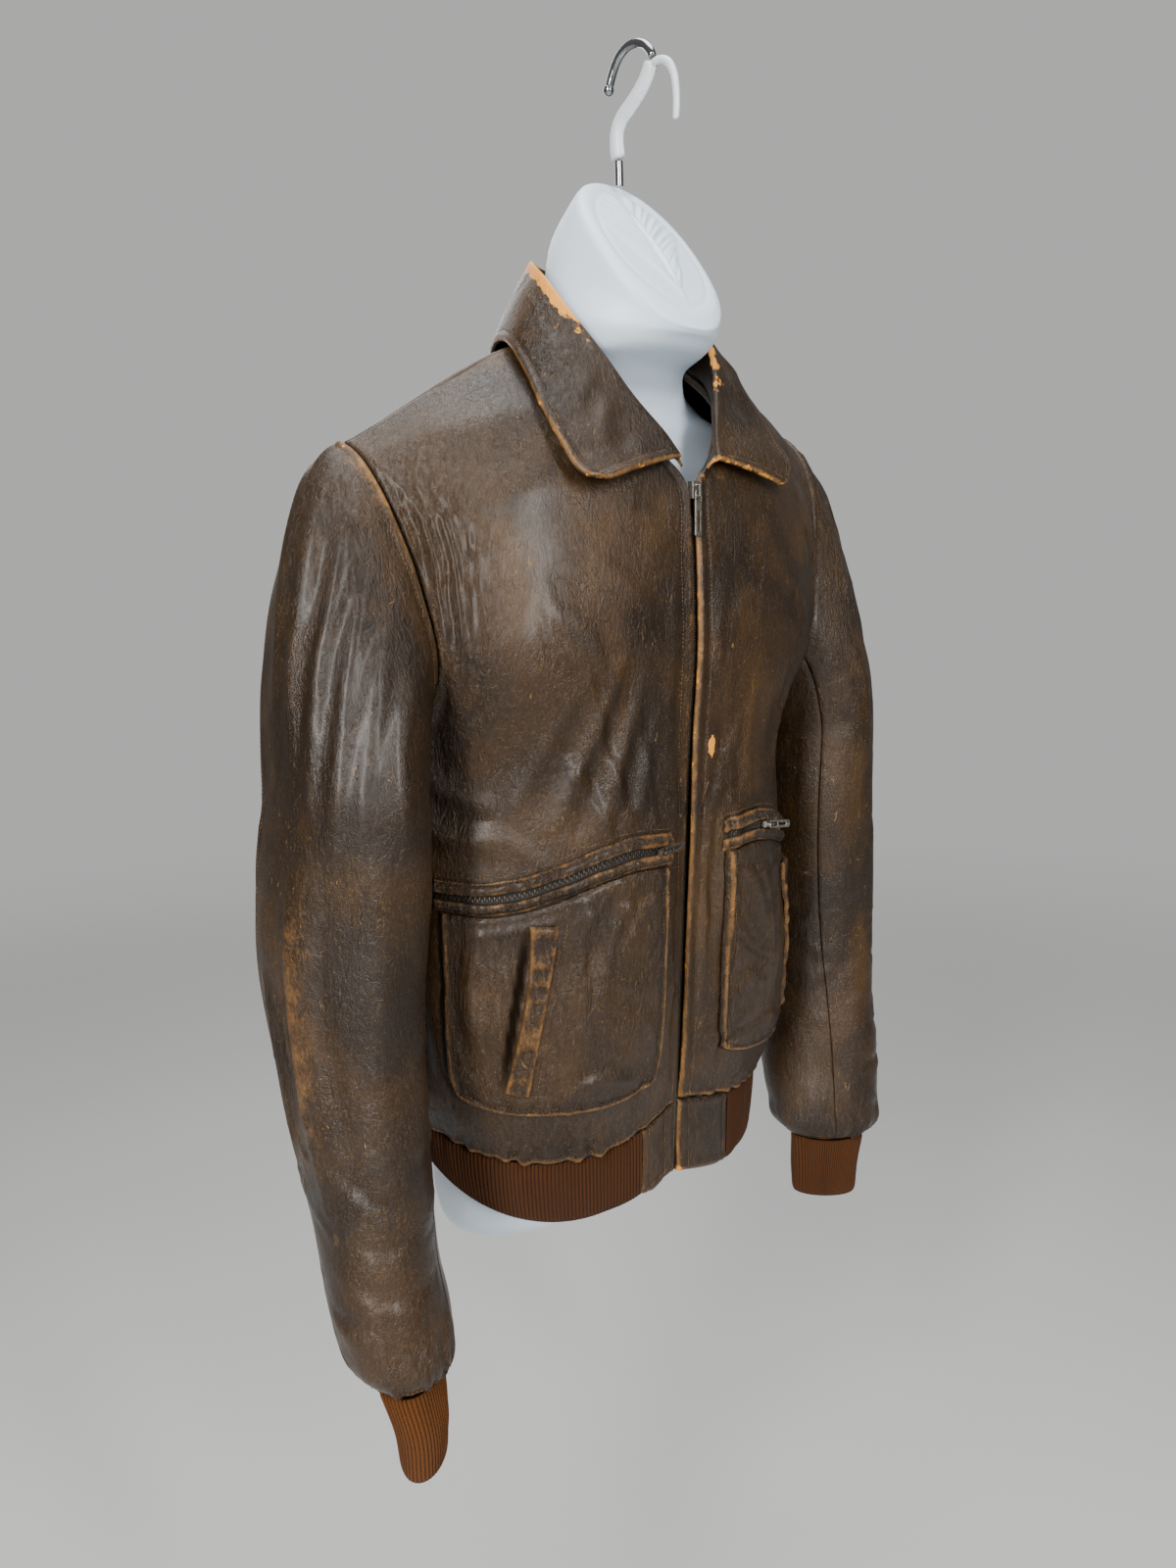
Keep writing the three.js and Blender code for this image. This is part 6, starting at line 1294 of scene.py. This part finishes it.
# ------------------------------------------------------------------ hook
def tube(name, yz, rx, ry, n=90, sides=28, flare=None, extra=None):
    pts = np.array([[0, y, z] for y, z in yz], float)
    k = np.concatenate([[0], np.cumsum(np.linalg.norm(np.diff(pts, axis=0), axis=1) ** 0.5)])
    t = np.linspace(0, k[-1], n)
    P = curve(k, np.repeat(pts[:, None], n, 1), t)
    T = unit(np.gradient(P, axis=0)); X = np.broadcast_to([1.0, 0, 0], P.shape); Nn = np.cross(T, X)
    a = 2 * np.pi * np.arange(sides) / sides
    u = t / k[-1]
    sc = np.sqrt(np.clip(1 - (2 * u - 1) ** 60, 0.05, 1))
    if flare is not None:
        sc = sc * flare(u)
    ra = rx * np.ones(sides); rb = ry * np.ones(sides)
    prof = extra(a) if extra is not None else np.ones(sides)
    G = P[:, None] + (X[:, None] * (np.cos(a) * rx * prof)[None, :, None] + Nn[:, None] * (np.sin(a) * ry * prof)[None, :, None]) * sc[:, None, None]
    Vv = np.concatenate([G.reshape(-1, 3), P[:1], P[-1:]]); fs = []
    for j in range(n - 1):
        for i in range(sides):
            q, r = j * sides + i, j * sides + (i + 1) % sides
            fs.append([q, r, r + sides, q + sides])
    for i in range(sides):
        fs.append([n * sides, (i + 1) % sides, i]); fs.append([n * sides + 1, (n - 1) * sides + i, (n - 1) * sides + (i + 1) % sides])
    return Vv, fs
def merged(name, lumps, mat, node):
    vs, fs, off = [], [], 0
    for V_, F_ in lumps:
        vs.append(V_); fs += [[q + off for q in f] for f in F_]; off += len(V_)
    o = to_object(name, np.concatenate(vs), fs)
    bm = bmesh.new(); bm.from_mesh(o.data); bmesh.ops.recalc_face_normals(bm, faces=bm.faces); bm.to_mesh(o.data); bm.free()
    o.data.polygons.foreach_set("use_smooth", [True] * len(o.data.polygons))
    o.data.materials.append(mat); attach(o, ROOT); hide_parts(node)
    return o
def ball(y, z, r):
    vs, fs = [], []
    for j in range(1, 14):
        p = math.pi * j / 14
        for i in range(20):
            a = 2 * math.pi * i / 20
            vs.append([r * math.sin(p) * math.cos(a), y + r * math.sin(p) * math.sin(a), z + r * math.cos(p)])
    for j in range(12):
        for i in range(20):
            a, b = j * 20 + i, j * 20 + (i + 1) % 20
            fs.append([a, a + 20, b + 20, b])
    vs += [[0, y, z + r], [0, y, z - r]]
    for i in range(20):
        fs.append([260, i, (i + 1) % 20]); fs.append([261, 240 + (i + 1) % 20, 240 + i])
    return np.array(vs, float), fs
merged("hook_rod_chrome", [tube("r", [[-47, 219], [-47, 226], [-46.6, 238.6]], 3.15, 3.15, 30, 24)], M_HOOK, "hook_rod")
flat_rib = lambda a: 1 + 0.20 * np.exp(-((np.mod(a, np.pi) - np.pi / 2) / 0.35) ** 2)
merged("hook_sleeve_plastic", [
    tube("s", [[-46.5, 239.2], [-44.8, 250], [-45.5, 259], [-50, 266.5], [-59, 273], [-67, 279], [-74, 286], [-79, 293], [-81, 298.4]], 4.5, 5.6, 90, 32, None, flat_rib),
    tube("b", [[-79, 290], [-84, 296], [-91, 296.5], [-98, 293], [-103, 285], [-105.5, 274], [-106, 264], [-105.4, 253]], 2.9, 3.3, 70, 24, lambda u: 1 - 0.25 * u)],
    M_SLEEVE, "hook_sleeve")
merged("hook_wire_chrome", [
    tube("w", [[-82.2, 300.6], [-80.8, 304.4], [-75, 310.8], [-68, 314.3], [-62, 315], [-56, 314.3], [-49, 310.8], [-44, 305.5], [-40, 298.5], [-37, 291.5]], 3.2, 3.2, 110, 28),
    ball(-36.4, 290, 4.1)], M_HOOK, "hook_wire")

# ------------------------------------------------------------------ floor, light, camera
lo, hi = np.array(cad_box[0]), np.array(cad_box[1])
def stage_material(name, col):
    N = Nodes(name)
    N.link(N.mix(N.ramp(N.noise(1.2, 3), 0.3, 0.7), col, tuple(0.97 * q for q in col)), N.b.inputs["Base Color"])
    N.b.inputs["Roughness"].default_value = 0.9
    return N.m
fz = lo[2] - 0.55
rad_, prof_ = 6.0, []
for k in range(41):
    t = k / 40
    prof_.append((t, 0))
vs, fs = [], []
# a flat floor, wide enough for every view
vs = [[-9, -9, fz], [9, -9, fz], [9, 9, fz], [-9, 9, fz]]
me = bpy.data.meshes.new("pale_floor"); me.from_pydata(vs, [], [[0, 1, 2, 3]]); me.update()
floor = bpy.data.objects.new("pale_floor", me); bpy.context.scene.collection.objects.link(floor)
me.materials.append(stage_material("pale_floor", (0.50, 0.50, 0.50)))
# far away the floor takes the backdrop's tone, so no hard horizon shows
_f = floor.data.materials[0].node_tree; _fo = [n for n in _f.nodes if n.type == "OUTPUT_MATERIAL"][0]
_near = _fo.inputs["Surface"].links[0].from_socket
_far = _f.nodes.new("ShaderNodeEmission"); _far.inputs[0].default_value = (0.80, 0.80, 0.79, 1); _far.inputs[1].default_value = 0.62
_cam = _f.nodes.new("ShaderNodeCameraData"); _rng = _f.nodes.new("ShaderNodeMapRange"); _rng.interpolation_type = "SMOOTHSTEP"
_rng.inputs["From Min"].default_value = 1.8; _rng.inputs["From Max"].default_value = 5.5
_lp = _f.nodes.new("ShaderNodeLightPath"); _mu = _f.nodes.new("ShaderNodeMath"); _mu.operation = "MULTIPLY"; _ms = _f.nodes.new("ShaderNodeMixShader")
_f.links.new(_cam.outputs["View Distance"], _rng.inputs["Value"]); _f.links.new(_rng.outputs["Result"], _mu.inputs[0]); _f.links.new(_lp.outputs["Is Camera Ray"], _mu.inputs[1])
_f.links.new(_mu.outputs[0], _ms.inputs[0]); _f.links.new(_near, _ms.inputs[1]); _f.links.new(_far.outputs[0], _ms.inputs[2]); _f.links.new(_ms.outputs[0], _fo.inputs["Surface"])
W = bpy.data.worlds.new("studio") if bpy.context.scene.world is None else bpy.context.scene.world
bpy.context.scene.world = W; W.use_nodes = True
W.node_tree.nodes["Background"].inputs[0].default_value = (0.88, 0.87, 0.85, 1)
W.node_tree.nodes["Background"].inputs[1].default_value = 0.23
# the backdrop is paler to the camera than the light it gives
_t = W.node_tree; _out = _t.nodes["World Output"]
_seen = _t.nodes.new("ShaderNodeBackground"); _seen.inputs[0].default_value = (0.80, 0.80, 0.79, 1); _seen.inputs[1].default_value = 0.62
_path = _t.nodes.new("ShaderNodeLightPath"); _mix = _t.nodes.new("ShaderNodeMixShader")
_t.links.new(_path.outputs["Is Camera Ray"], _mix.inputs[0]); _t.links.new(_t.nodes["Background"].outputs[0], _mix.inputs[1]); _t.links.new(_seen.outputs[0], _mix.inputs[2])
_t.links.new(_mix.outputs[0], _out.inputs["Surface"])

def area(name, loc, target, sx, sy, power, col=(1, 1, 1)):
    l = bpy.data.lights.new(name, "AREA"); l.shape = "RECTANGLE"; l.size = sx; l.size_y = sy; l.energy = power; l.color = col
    o = bpy.data.objects.new(name, l); bpy.context.scene.collection.objects.link(o)
    o.location = loc
    from mathutils import Vector
    o.rotation_euler = (Vector(target) - Vector(loc)).to_track_quat("-Z", "Y").to_euler()
    return o
area("key_left", (-2.3, -1.0, 0.45), (0, 0, -0.5), 0.42, 2.2, 112, (1, 0.98, 0.95))
area("front_strip", (-0.5, -2.6, 0.55), (0, 0, -0.5), 0.34, 2.0, 78, (1, 0.99, 0.97))
area("top_soft", (0.1, 0.1, 1.9), (0, 0, -0.5), 1.8, 1.8, 62, (1, 1, 0.99))
area("back_rim", (0.9, 1.9, 0.5), (0, 0, -0.5), 1.4, 1.6, 20, (1, 1, 1))

from mathutils import Matrix, Vector
az, pitch, roll = -0.7561899, -0.1837665, -0.0145408
fw = Vector((-math.sin(az) * math.cos(pitch), math.cos(az) * math.cos(pitch), math.sin(pitch)))
r = fw.cross(Vector((0, 0, 1))).normalized(); u = r.cross(fw).normalized()
cr, sr = math.cos(roll), math.sin(roll)
r2 = r * cr + u * sr; u2 = u * cr - r * sr
cam = bpy.data.cameras.new("camera"); cam.sensor_width = 36; cam.sensor_fit = "AUTO"; cam.lens = 28.2527
cam.clip_start = 0.02; cam.clip_end = 60
co = bpy.data.objects.new("camera", cam); bpy.context.scene.collection.objects.link(co)
M = Matrix((r2, u2, -fw)).transposed().to_4x4(); M.translation = Vector((-0.71107, -0.69450, -0.36747))
co.matrix_world = M
bpy.context.scene.camera = co

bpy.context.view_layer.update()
